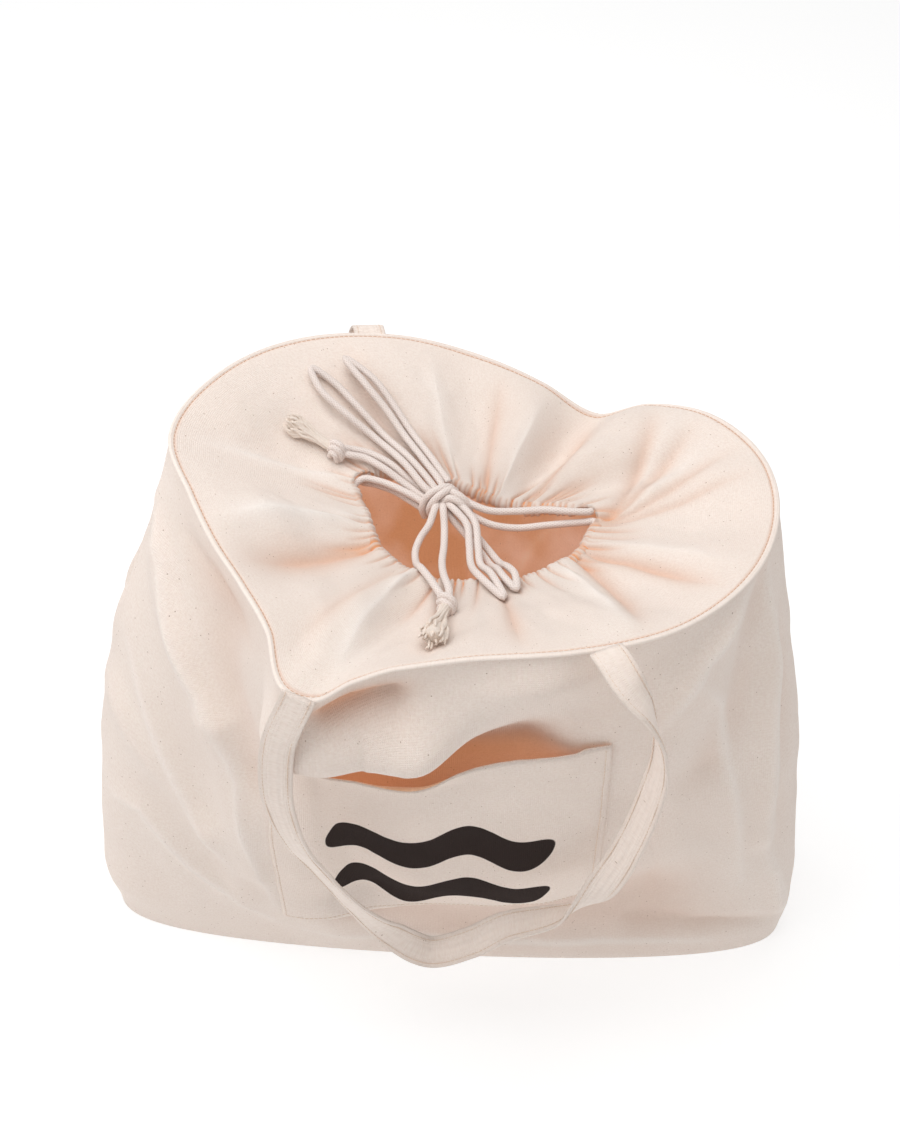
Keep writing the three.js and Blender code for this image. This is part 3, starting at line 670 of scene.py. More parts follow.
@dataclass(frozen=True)
class WavyBands:
    """A plain print of two bold wavy bands with round ends, in millimetres from the pocket's lower left."""

    left: float = 58.0
    right: float = 170.0
    low: float = 4.0
    pitch: float = 74.0
    half: float = 20.5
    wave: float = 76.0
    swing: float = 13.0
    soft: float = 0.3
    cover: float = 0.97

    def draw(self, f: Finish, uv: bpy.types.NodeSocket) -> bpy.types.NodeSocket:
        """Draw the bands.

        Args:
            f: The finish that they are drawn in.
            uv: The cloth's coordinates in metres, from the pocket's lower left corner.

        Returns:
            How much the ink covers, from 0 off the bands.
        """
        x = f.add("SeparateXYZ", {0: uv})
        turn = f.add("Math", {0: x, 1: 2 * math.pi / (self.wave * MM)}, operation="MULTIPLY")
        sine = f.add("Math", {0: turn}, operation="SINE")
        y = f.add("Math", {0: x.node.outputs[1], 1: self.low * MM}, operation="SUBTRACT")
        swung = f.add("Math", {0: sine, 1: self.swing * MM, 2: y}, operation="MULTIPLY_ADD")
        lane = f.add("Math", {0: swung, 1: self.pitch * MM}, operation="DIVIDE")
        held = f.add("Clamp", {0: f.add("Math", {0: lane}, operation="FLOOR")})
        within = f.add("Math", {0: lane, 1: held}, operation="SUBTRACT")
        centred = f.add("Math", {0: within, 1: 0.5}, operation="SUBTRACT")
        off = f.add("Math", {0: centred, 1: self.pitch * MM}, operation="MULTIPLY")
        before = f.add("Math", {0: self.left * MM, 1: x}, operation="SUBTRACT")
        after = f.add("Math", {0: x, 1: self.right * MM}, operation="SUBTRACT")
        past = f.add("Math", {0: before, 1: after}, operation="MAXIMUM")
        beyond = f.add("Math", {0: past, 1: 0.0}, operation="MAXIMUM")
        end = f.add("Math", {0: beyond, 1: beyond}, operation="MULTIPLY")
        square = f.add("Math", {0: off, 1: off, 2: end}, operation="MULTIPLY_ADD")
        far = f.add("Math", {0: square}, operation="SQRT")
        edge = f.add("Math", {0: self.half * MM, 1: far}, operation="SUBTRACT")
        soft = self.soft * MM
        return f.add("MapRange", {"Value": edge, "From Min": -soft, "From Max": soft, "To Max": self.cover})


@dataclass(frozen=True)
class CanvasFinish:
    """Unbleached cotton canvas, plain woven: matt, creamy, with slubs and brown seed flecks."""

    name: str
    cotton: str = "#f5e9e0"
    slub: str = "#e8d6ca"
    fleck: str = "#a58873"
    warm: str = "#d99a68"
    crest_highlight: str = "#fffaf5"
    lit_through: str | None = None
    lit_dark: str = "#a8805f"
    weave_mm: float = 1.2
    slub_mm: tuple[float, float] = (5.88, 0.909)
    grain_mm: float = 1.613
    patch_mm: float = 71.4
    cloud_mm: float = 52.6
    fleck_gap_mm: float = 5.0
    fleck_mm: float = 0.8
    ink: str | None = None
    sheen: float = 0.18

    def make(self) -> bpy.types.Material:
        """Build the material.

        Returns:
            The material, which reads the piece's own UV map in metres and its glow attribute.
        """
        f = Finish(self.name, 0.93, self.sheen, 0.25 if self.ink is None else 0.05)
        uv = f.add("UVMap", uv_map="cloth")
        grain = f.add("TexNoise", {"Vector": uv, "Scale": 1 / (self.grain_mm * MM), "Detail": 2.0}, "Fac")
        colour = self.threads(f, uv, grain)
        if self.ink is not None:
            cover = WavyBands().draw(f, uv)
            colour = f.add("Mix", {0: cover, 6: colour, 7: linear(self.ink)}, 2, data_type="RGBA")
        # Real threads are about 0.6 mm apart, too fine for the render, so the weave is drawn coarser.
        woven = {"Vector": uv, "Scale": 2 * math.pi / 20 / (self.weave_mm * MM)}
        woven |= {"Distortion": 1.2, "Detail": 1.0, "Detail Scale": 0.4}
        waves = [f.add("TexWave", woven, "Fac", bands_direction=way) for way in ("X", "Y")]
        weave = f.add("Math", {0: waves[0], 1: waves[1]}, operation="MULTIPLY")
        fuzz = f.add("Math", {0: grain, 1: 0.45}, operation="MULTIPLY")
        height = f.add("Math", {0: weave, 1: 0.55, 2: fuzz}, operation="MULTIPLY_ADD")
        return f.done(self.lit(f, colour), height, 0.42)

    def threads(
        self, f: Finish, uv: bpy.types.NodeSocket, grain: bpy.types.NodeSocket
    ) -> bpy.types.NodeSocket:
        """Colour the slubs, the speckle, the uneven patches and the seed flecks.

        Args:
            f: The finish that they are drawn in.
            uv: The cloth's coordinates in metres.
            grain: The fine noise of the yarn.

        Returns:
            The cloth's colour.
        """
        long, thin = (1 / (size * MM) for size in self.slub_mm)
        streaks = []
        for stretch in ((long, thin, 1.0), (thin, long, 1.0)):
            turned = f.add("Mapping", {"Vector": uv, "Scale": stretch})
            streaks.append(f.add("TexNoise", {"Vector": turned, "Scale": 1.0, "Detail": 2.0}, "Fac"))
        slub = f.add("Math", {0: streaks[0], 1: streaks[1]}, operation="MULTIPLY")
        patch = f.add("TexNoise", {"Vector": uv, "Scale": 1 / (self.patch_mm * MM), "Detail": 3.0}, "Fac")
        colour = linear(self.cotton)
        marks = ((slub, 0.12, 0.42, 0.4), (grain, 0.42, 0.72, 0.6), (patch, 0.3, 0.75, 0.35))
        for pattern, low, high, most in marks:
            share = f.add("MapRange", {"Value": pattern, "From Min": low, "From Max": high, "To Max": most})
            colour = f.add("Mix", {0: share, 6: colour, 7: linear(self.slub)}, 2, data_type="RGBA")
        spread = {"Vector": uv, "Scale": 1 / (self.fleck_gap_mm * MM), "Randomness": 1.0}
        cells = f.add("TexVoronoi", spread, "Distance")
        spot = f.add("Math", {0: cells, 1: self.fleck_mm / 2 / self.fleck_gap_mm}, operation="LESS_THAN")
        kept = f.add("Math", {0: cells.node.outputs["Color"], 1: 0.45}, operation="GREATER_THAN")
        seen = f.add("Math", {0: spot, 1: kept}, operation="MULTIPLY")
        share = f.add("Math", {0: seen, 1: 0.8}, operation="MULTIPLY")
        return f.add("Mix", {0: share, 6: colour, 7: linear(self.fleck)}, 2, data_type="RGBA")

    def lit(self, f: Finish, colour: bpy.types.NodeSocket) -> bpy.types.NodeSocket:
        """Warm the cloth with painted shade where light has come through other cloth, and paint a highlight
        on crests.

        Args:
            f: The finish, which also gets the light that comes through its own cloth.
            colour: The cloth's colour.

        Returns:
            The colour as it is lit.
        """
        # The attribute is above zero for painted warm shade, where light has come through other cloth, and
        # below it for a painted highlight on crests.
        glow = f.add("Attribute", None, "Fac", attribute_name="glow", attribute_type="GEOMETRY")
        warm = f.add("Math", {0: glow, 1: 0.0}, operation="MAXIMUM")
        tint = {0: warm, 6: colour, 7: linear(self.warm)}
        colour = f.add("Mix", tint, 2, data_type="RGBA", blend_type="MULTIPLY")
        below = f.add("Math", {0: glow, 1: -1.0}, operation="MULTIPLY")
        highlight_share = f.add("Math", {0: below, 1: 0.0}, operation="MAXIMUM")
        colour = f.add("Mix", {0: highlight_share, 6: colour, 7: linear(self.crest_highlight)}, 2, data_type="RGBA")
        if self.lit_through is None:
            # Where the painted warmth is deep, the cloth also glows with painted light.
            over = f.add("Math", {0: glow, 1: 0.3}, operation="SUBTRACT")
            deep = f.add("Math", {0: over, 1: 0.0}, operation="MAXIMUM")
            strength = f.add("Math", {0: deep, 1: 0.5}, operation="MULTIPLY")
            f.shader.inputs["Emission Color"].default_value = linear(self.warm)
            f.tree.links.new(strength, f.shader.inputs["Emission Strength"])
        else:
            # The inside glows with painted light, darker and lighter in uneven clouds.
            place = f.add("TexCoord", None, "Object")
            uneven = {"Vector": place, "Scale": 1 / (self.cloud_mm * MM), "Detail": 3.0}
            cloud = f.add("TexNoise", uneven, "Fac")
            share = f.add("MapRange", {"Value": cloud, "From Min": 0.36, "From Max": 0.66})
            tones = {0: share, 6: linear(self.lit_dark), 7: linear(self.lit_through)}
            f.tree.links.new(f.add("Mix", tones, 2, data_type="RGBA"), f.shader.inputs["Emission Color"])
            f.shader.inputs["Emission Strength"].default_value = 0.4
        return colour


@dataclass(frozen=True)
class CordFinish:
    """Braided cotton cord, natural: matt and off-white, with a fine braid and stray dark fibres."""

    name: str = "braided cotton cord"
    cotton: str = "#ece0da"
    groove: str = "#d9c9bf"
    fleck: str = "#6f6055"
    plies: int = 8
    pitch_mm: float = 6.0
    fibre_mm: float = 6.25

    def make(self) -> bpy.types.Material:
        """Build the material.

        Returns:
            The material, which reads the cord's own UV map: once round, and metres along.
        """
        f = Finish(self.name, 0.9, 0.2)
        uv = f.add("UVMap", uv_map="cloth")
        # A diagonal wave goes through ten radians for each unit, so these scales give whole plies round.
        round_scale = 2 * math.pi * self.plies / 10
        along_scale = 2 * math.pi / 10 / (self.pitch_mm * MM / 2)
        waves = []
        for lean in (along_scale, -along_scale):
            turned = f.add("Mapping", {"Vector": uv, "Scale": (round_scale, lean, 1.0)})
            drawn = {"Vector": turned, "Scale": 1.0}
            waves.append(f.add("TexWave", drawn, "Fac", bands_direction="DIAGONAL"))
        braid = f.add("Math", {0: waves[0], 1: waves[1]}, operation="MAXIMUM")
        # The braid's grooves are painted darker, as painted shade.
        colour = f.add("Mix", {0: braid, 6: linear(self.groove), 7: linear(self.cotton)}, 2, data_type="RGBA")
        fibres = f.add("TexNoise", {"Vector": uv, "Scale": 1 / (self.fibre_mm * MM), "Detail": 1.0}, "Fac")
        spot = f.add("Math", {0: fibres, 1: 0.74}, operation="GREATER_THAN")
        share = f.add("Math", {0: spot, 1: 0.55}, operation="MULTIPLY")
        colour = f.add("Mix", {0: share, 6: colour, 7: linear(self.fleck)}, 2, data_type="RGBA")
        return f.done(colour, braid, 0.22)


@dataclass(frozen=True)
class ThreadFinish:
    """Spun sewing thread: a dull light tan, a little darker than the cloth that it sews."""

    name: str = "spun sewing thread"
    tan: str = "#ead6c5"
    dark: str = "#dcc2ac"
    twist_mm: float = 1.111

    def make(self) -> bpy.types.Material:
        """Build the material.

        Returns:
            The material, which reads the piece's own coordinates.
        """
        f = Finish(self.name, 0.7, 0.1)
        place = f.add("TexCoord", None, "Object")
        twist = f.add("TexNoise", {"Vector": place, "Scale": 1 / (self.twist_mm * MM), "Detail": 1.0}, "Fac")
        colour = f.add("Mix", {0: twist, 6: linear(self.tan), 7: linear(self.dark)}, 2, data_type="RGBA")
        return f.done(colour, twist, 0.1)


@dataclass(frozen=True)
class Stitch:
    """One stitch of a seam: its length, its height over the cloth and the dip between two of them."""

    pitch: float = 3.4
    points: int = 6
    rise: float = 0.2
    dip: float = 0.9
    dip_share: float = 0.12
    radius: float = 0.26
    sides: int = 5


STITCH = Stitch()


class PieceMesh:
    """A mesh under construction from shaped grids, with a UV map in metres of cloth."""

    def __init__(self, name: str) -> None:
        """Start an empty mesh.

        Args:
            name: The piece's name.
        """
        self.name = name
        self.bm = bmesh.new()
        self.uv = self.bm.loops.layers.uv.new("cloth")
        self.glow = self.bm.verts.layers.float.new("glow")

    def grid(
        self,
        across: np.ndarray,
        along: np.ndarray,
        place: Place,
        cloth: Place,
        glow: Place | None = None,
        closed: bool = False,
        capped: bool = False,
    ) -> None:
        """Add a grid and shape it.

        Args:
            across: The first coordinate of each column.
            along: The second coordinate of each row.
            place: Where a point of the grid goes, in millimetres.
            cloth: Its UV, in millimetres.
            glow: How much warmer the cloth is painted there than the rest, as painted shade, and below zero
                how much paler, as a painted highlight.
            closed: Whether the last column meets the first.
            capped: Whether the open ends are filled.
        """
        before = set(self.bm.edges)
        made = bmesh.ops.create_grid(
            self.bm, x_segments=len(across) - 1, y_segments=len(along) - 1, size=0.5, calc_uvs=False
        )
        verts = made["verts"]
        flat = np.array([v.co for v in verts])
        u = across[np.rint((flat[:, 0] + 0.5) * (len(across) - 1)).astype(int)]
        v = along[np.rint((flat[:, 1] + 0.5) * (len(along) - 1)).astype(int)]
        spots, marks = place(u, v) * MM, cloth(u, v) * MM
        warmth = glow(u, v) if glow else np.zeros_like(u)
        mark_of = {}
        for vert, spot, mark, heat in zip(verts, spots.tolist(), marks.tolist(), warmth.tolist()):
            vert.co = spot
            vert[self.glow] = heat
            mark_of[vert] = mark
        for face in {f for vert in verts for f in vert.link_faces}:
            face.smooth = True
            for loop in face.loops:
                loop[self.uv].uv = mark_of[loop.vert]
        if closed:
            bmesh.ops.remove_doubles(self.bm, verts=verts, dist=0.002 * MM)
        if capped:
            rims = [e for e in self.bm.edges if e not in before and e.is_boundary]
            bmesh.ops.holes_fill(self.bm, edges=rims, sides=0)

    def tube(self, line: np.ndarray, radius: float | np.ndarray, sides: int) -> None:
        """Add a round tube along a line, with closed ends.

        Args:
            line: The centreline, in millimetres.
            radius: Its radius, the same all along or one for each point.
            sides: How many faces go round it.
        """
        count = len(line)
        run = unit(np.gradient(line, axis=0))
        side = np.zeros_like(line)
        start = np.cross(run[0], [0.0, 0.0, 1.0])
        if np.linalg.norm(start) < 0.2:
            start = np.cross(run[0], [0.0, 1.0, 0.0])
        side[0] = unit(start)
        for k in range(1, count):
            side[k] = unit(side[k - 1] - run[k] * float(side[k - 1] @ run[k]))
        up = np.cross(side, run)
        radii = np.broadcast_to(np.asarray(radius, float), (count,))
        far = far_along(line)

        def place(u: np.ndarray, v: np.ndarray) -> np.ndarray:
            """Find points by the share of a turn and the number along the line.

            Args:
                u: Share of a turn.
                v: Number along the line.

            Returns:
                The points, in millimetres.
            """
            k, turn = v.astype(int), 2 * math.pi * u
            spoke = np.cos(turn)[:, None] * side[k] + np.sin(turn)[:, None] * up[k]
            return line[k] + radii[k][:, None] * spoke

        def cloth(u: np.ndarray, v: np.ndarray) -> np.ndarray:
            """Count once round the tube, and millimetres along it."""
            return np.stack([u / MM, far[v.astype(int)]], axis=-1)

        rows = np.arange(count, dtype=float)
        self.grid(np.linspace(1, 0, sides + 1), rows, place, cloth, closed=True, capped=True)

    def stitches(self, line: np.ndarray, away: np.ndarray) -> None:
        """Add a thread that comes up out of the cloth for each stitch and dips through it between them.

        Args:
            line: Where the seam runs on the cloth, in millimetres.
            away: The way out of the cloth at each point.
        """
        count = max(int(run_length(line) / STITCH.pitch), 1)
        phase = np.mod(np.arange(STITCH.points * count + 1) / STITCH.points, 1)
        dip = np.exp(-((np.minimum(phase, 1 - phase) / STITCH.dip_share) ** 2))
        rise = STITCH.rise - STITCH.dip * dip
        places = even(line, len(phase)) + even_like(line, away, len(phase)) * rise[:, None]
        self.tube(places, STITCH.radius, STITCH.sides)

    def build(
        self, slot: Slot, *materials: bpy.types.Material, node: str | None = None, wall_mm: float = 0.0
    ) -> bpy.types.Object:
        """Finish the mesh as an object that rides on the bag.

        Args:
            slot: The record's material slot; not used.
            *materials: The outer finish, and the inner one where the wall has its own.
            node: The solid that the piece stands for, where it stands for one.
            wall_mm: The cloth's thickness, which goes on the inside.

        Returns:
            The object.
        """
        mesh = bpy.data.meshes.new(self.name)
        self.bm.to_mesh(mesh)
        self.bm.free()
        for material in materials:
            mesh.materials.append(material)
        obj = bpy.data.objects.new(self.name, mesh)
        bpy.context.scene.collection.objects.link(obj)
        if wall_mm:
            wall = obj.modifiers.new("cloth thickness", "SOLIDIFY")
            wall.thickness = wall_mm * MM
            wall.offset = -1.0
            wall.use_quality_normals = True
            wall.material_offset = len(materials) - 1
        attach(obj, "root")
        if node:
            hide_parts(node)
        return obj


@dataclass
class Finishes:
    """The materials of the bag, each made once."""

    canvas: bpy.types.Material = field(init=False)
    inside: bpy.types.Material = field(init=False)
    printed: bpy.types.Material = field(init=False)
    cord: bpy.types.Material = field(init=False)
    yarn: bpy.types.Material = field(init=False)
    thread: bpy.types.Material = field(init=False)
    rim_thread: bpy.types.Material = field(init=False)

    def __post_init__(self) -> None:
        """Make every material."""
        self.canvas = CanvasFinish("cotton canvas").make()
        # Light that has gone through the cloth and round the inside of the bag comes back much warmer: the
        # inside is a shaded copy of the canvas, painted warmer and darker, and it glows with painted light.
        self.inside = CanvasFinish(
            "cotton canvas, inside", cotton="#e4c4a8", slub="#d6b193", lit_through="#dcc2b2"
        ).make()
        self.printed = CanvasFinish("cotton canvas, printed", ink="#1d0f0e", sheen=0.0).make()
        self.cord = CordFinish().make()
        self.yarn = ThreadFinish("loose cotton yarn", tan="#ece1d8", dark="#e0cfc0").make()
        self.thread = ThreadFinish().make()
        self.rim_thread = ThreadFinish("spun sewing thread, rim", tan="#d6ac8c", dark="#c0906c").make()


class WarmSpot(NamedTuple):
    """A soft patch of a flat panel that light reaches only through other cloth."""

    at: Spot
    size: Spot
    warmth: float

    def shade(self, a: np.ndarray, b: np.ndarray) -> np.ndarray:
        """Give the painted warm shade at flat places, which fades all round the patch."""
        off = ((a - self.at[0]) / self.size[0]) ** 2 + ((b - self.at[1]) / self.size[1]) ** 2
        return self.warmth * np.exp(-off)


class Cover(NamedTuple):
    """The part of the wall that the pocket covers, each edge by where its shade starts and ends."""

    left: Spot = (190, 215)
    right: Spot = (370, 398)
    low: Spot = (80, 120)
    mouth: Spot = (-14, 16)
    warmth: float = 0.5

    def shade(self, a: np.ndarray, b: np.ndarray) -> np.ndarray:
        """Give the painted warm shade behind the pocket.

        Args:
            a: Flat distance from the first seam, in millimetres.
            b: Flat height, in millimetres.

        Returns:
            The warmth, which fades out over the pocket's mouth.
        """
        top = np.interp(a, (POCKET_LEFT, POCKET_RIGHT), POCKET_TOP)
        within = smooth(a, *self.left) * (1 - smooth(a, *self.right)) * smooth(b, *self.low)
        return self.warmth * within * (1 - smooth(b - top, *self.mouth))


@dataclass(frozen=True)
class WallPanel:
    """A canvas wall from one side seam to the other, and from the floor to the rim."""

    node: str
    rim_span: Spot
    base_span: Spot
    folds: tuple[Fold, ...]
    creases: tuple[Crease, ...]
    counts: tuple[int, int]
    seed: int
    shades: tuple[WarmSpot | Cover, ...] = ()
    step: float = 0.004
    seam_gap: float = 0.2
    seam_depth: float = 1.3
    seam_width: float = 1.6
    sewn_width: float = 14.0
    rim_gap: float = 1.4

    def straight(self, along: np.ndarray, up: np.ndarray) -> np.ndarray:
        """Find points of the ruled surface from the floor outline to the rim.

        Args:
            along: Share of the way from the first seam.
            up: Share of the way up from the floor.

        Returns:
            The points, in millimetres.
        """
        base = base_points(np.interp(along, *by_length(base_points, *self.base_span)))
        rim = RIM.points(np.interp(along, *by_length(RIM.points, *self.rim_span)))
        return base + (rim - base) * up[:, None]

    def surface(self, along: np.ndarray, up: np.ndarray) -> np.ndarray:
        """Find points of the folded wall.

        Args:
            along: Share of the way from the first seam.
            up: Share of the way up from the floor.

        Returns:
            The wall's outer points.
        """
        run = self.straight(along + self.step, up) - self.straight(along - self.step, up)
        out = unit(np.stack([run[:, 1], -run[:, 0], np.zeros(len(run))], axis=1))
        a, b = along * PANEL_WIDTH, up * RIM_HEIGHT
        from_seam = np.minimum(a, PANEL_WIDTH - a)
        freed = smooth(up, 0, 0.12) * (1 - smooth(up, 0.93, 1)) * smooth(from_seam, 0, self.sewn_width)
        bulge = WALL_BULGE * np.sin(math.pi * np.clip(up, 0, 1) ** 0.8)
        seam = self.seam_depth * np.exp(-((from_seam / self.seam_width) ** 2))
        return self.straight(along, up) + out * (bulge + freed * self.push(a, b) - seam)[:, None]

    def push(self, a: np.ndarray, b: np.ndarray) -> np.ndarray:
        """Find how far the folds, creases and unevenness push the cloth out.

        Args:
            a: Flat distance from the first seam, in millimetres.
            b: Flat height, in millimetres.

        Returns:
            The push, negative in hollows.
        """
        push = np.zeros_like(a)
        for k, (lengths, height) in enumerate(WALL_WAVES):
            push = push + rumple(a, b, self.seed + k, lengths, height)
        for crease in self.creases:
            push = push + crease.height(a, b)
        for fold in self.folds:
            _, off = from_segment(a, b, fold.start, fold.end)
            push = push + fold.depth * np.exp(-((off / fold.width) ** 2))
        return push

    def normal(self, along: np.ndarray, up: np.ndarray) -> np.ndarray:
        """Find the way out of the wall.

        Args:
            along: Share of the way from the first seam.
            up: Share of the way up from the floor.

        Returns:
            A vector of length one for each point.
        """
        d = self.step
        across = self.surface(along + d, up) - self.surface(along - d, up)
        rise = self.surface(along, np.minimum(up + d, 1)) - self.surface(along, np.maximum(up - d, 0))
        return unit(np.cross(across, rise))

    def cloth(self, along: np.ndarray, up: np.ndarray) -> np.ndarray:
        """Lay the wall out flat, in millimetres."""
        return np.stack([along * PANEL_WIDTH, up * RIM_HEIGHT], axis=-1)

    def glow(self, along: np.ndarray, up: np.ndarray) -> np.ndarray:
        """Paint warm shade into the hollows and the shaded parts, and a highlight on the crests.

        Args:
            along: Share of the way from the first seam.
            up: Share of the way up from the floor.

        Returns:
            The painted warmth, below zero where a highlight is painted on crests.
        """
        a, b = along * PANEL_WIDTH, up * RIM_HEIGHT
        warmth = np.clip(-self.push(a, b) / 60, 0, 0.22)
        for crease in self.creases:
            warmth = warmth - 0.3 * crease.highlight_share(a, b)
        for part in self.shades:
            warmth = warmth + part.shade(a, b)
        return warmth

    def build(self, finishes: Finishes) -> list[bpy.types.Object]:
        """Build and dress the wall.

        Args:
            finishes: The bag's materials.

        Returns:
            The wall.
        """
        mesh = PieceMesh(self.node + "_cloth")
        seam = self.seam_gap / PANEL_WIDTH
        # A few closer columns draw the groove at each side seam.
        close = np.array([0.0012, 0.003, 0.005])
        along = np.linspace(seam, 1 - seam, self.counts[0] + 1)
        along = np.sort(np.concatenate([along, close, 1 - close]))
        up = np.linspace(0, 1 - self.rim_gap / RIM_HEIGHT, self.counts[1] + 1)
        mesh.grid(along, up, self.surface, self.cloth, self.glow)
        obj = mesh.build(Slot.CANVAS, finishes.canvas, finishes.inside, node=self.node, wall_mm=CANVAS_MM)
        return [obj]


FRONT = WallPanel(
    "front_panel",
    rim_span=(LEFT_SEAM, RIGHT_SEAM),
    base_span=(0, 1),
    folds=(*FRONT_FOLDS, POCKET_HOLLOW),
    creases=FRONT_CREASES,
    counts=(272, 164),
    seed=11,
    # Behind the pocket and under the front rim the wall gets painted warm shade.
    shades=(Cover(), WarmSpot((252, 381), (26, 9), 0.7), WarmSpot((118, 376), (40, 22), 0.16)),
)
# The pocket lies on the wall as it is without its own hollow and crisp creases.
POCKET_GROUND = replace(FRONT, folds=FRONT_FOLDS, creases=())
BACK = WallPanel(
    "back_panel",
    rim_span=(RIGHT_SEAM, LEFT_SEAM + 360),
    base_span=(1, 2),
    folds=BACK_FOLDS,
    creases=BACK_CREASES,
    counts=(240, 140),
    seed=23,
)


@dataclass(frozen=True)
class BasePanel:
    """The flat canvas bottom of the boxed bag."""

    node: str = "base_panel"
    inset: float = 1.0
    thickness: float = 2.0

    def surface(self, along: np.ndarray, back: np.ndarray) -> np.ndarray:
        """Find points of the bottom's upper face.

        Args:
            along: Share of the way from the left end.
            back: Share of the way from the front edge.

        Returns:
            The points, in millimetres.
        """
        shrink = np.array([1 - self.inset / BASE_HALF_LENGTH, 1 - self.inset / BASE_HALF_DEPTH, 1])
        front = base_points(np.clip(along, 1e-6, 1 - 1e-6))
        rear = front * np.array([1, -1, 1])
        spot = (front + (rear - front) * back[:, None]) * shrink
        spot[:, 2] = self.thickness
        return spot

    def cloth(self, along: np.ndarray, back: np.ndarray) -> np.ndarray:
        """Lay the bottom out flat, in millimetres."""
        return self.surface(along, back)[:, :2]

    def build(self, finishes: Finishes) -> list[bpy.types.Object]:
        """Build and dress the bottom.

        Args:
            finishes: The bag's materials.

        Returns:
            The bottom.
        """
        mesh = PieceMesh("base_panel_cloth")
        mesh.grid(np.linspace(0, 1, 97), np.linspace(0, 1, 33), self.surface, self.cloth)
        obj = mesh.build(Slot.CANVAS, finishes.canvas, node=self.node, wall_mm=self.thickness)
        return [obj]


class Crevice(NamedTuple):
    """One tight crease of the drawn mouth, by its place along the mouth."""

    at: float
    width: float
    depth: float
    start: float
    lean: float


# Long creases of the collar that can be told apart: at the mouth's bearing, then at the rim's.
LONG_CREASES = (
    CollarFold(367, 402, -4.4, 2.2),
    CollarFold(367, 397, 1.8, 1.5),
    CollarFold(367, 392, -3.8, 1.6),
    CollarFold(366, 386, 1.8, 1.4),
    CollarFold(366, 380, -3.6, 1.5),
    CollarFold(365, 371, -3.0, 1.4),
    CollarFold(346, 336, -5.4, 2.2),
    CollarFold(341, 314, -5.0, 2.8),
    CollarFold(352, 343, 2.0, 2.4),
    CollarFold(330, 312, 3.8, 3.2),
    CollarFold(230, 245, 4.2, 3.4),
    CollarFold(221, 232, -2.4, 3.4),
    CollarFold(514, 527, 3.0, 1.5),
    CollarFold(178, 189, 5.0, 3.6),
    CollarFold(197, 203, -5.4, 5.0),
    CollarFold(254, 263, -4.0, 2.6),
    CollarFold(290, 287, -4.0, 2.8),
    CollarFold(401, 414, -4.6, 2.8),
    CollarFold(428, 427, 2.6, 2.8),
    CollarFold(444, 442, -3.4, 2.8),
    CollarFold(466, 462, 2.2, 3.0),
    CollarFold(488, 482, -2.0, 3.2),
)


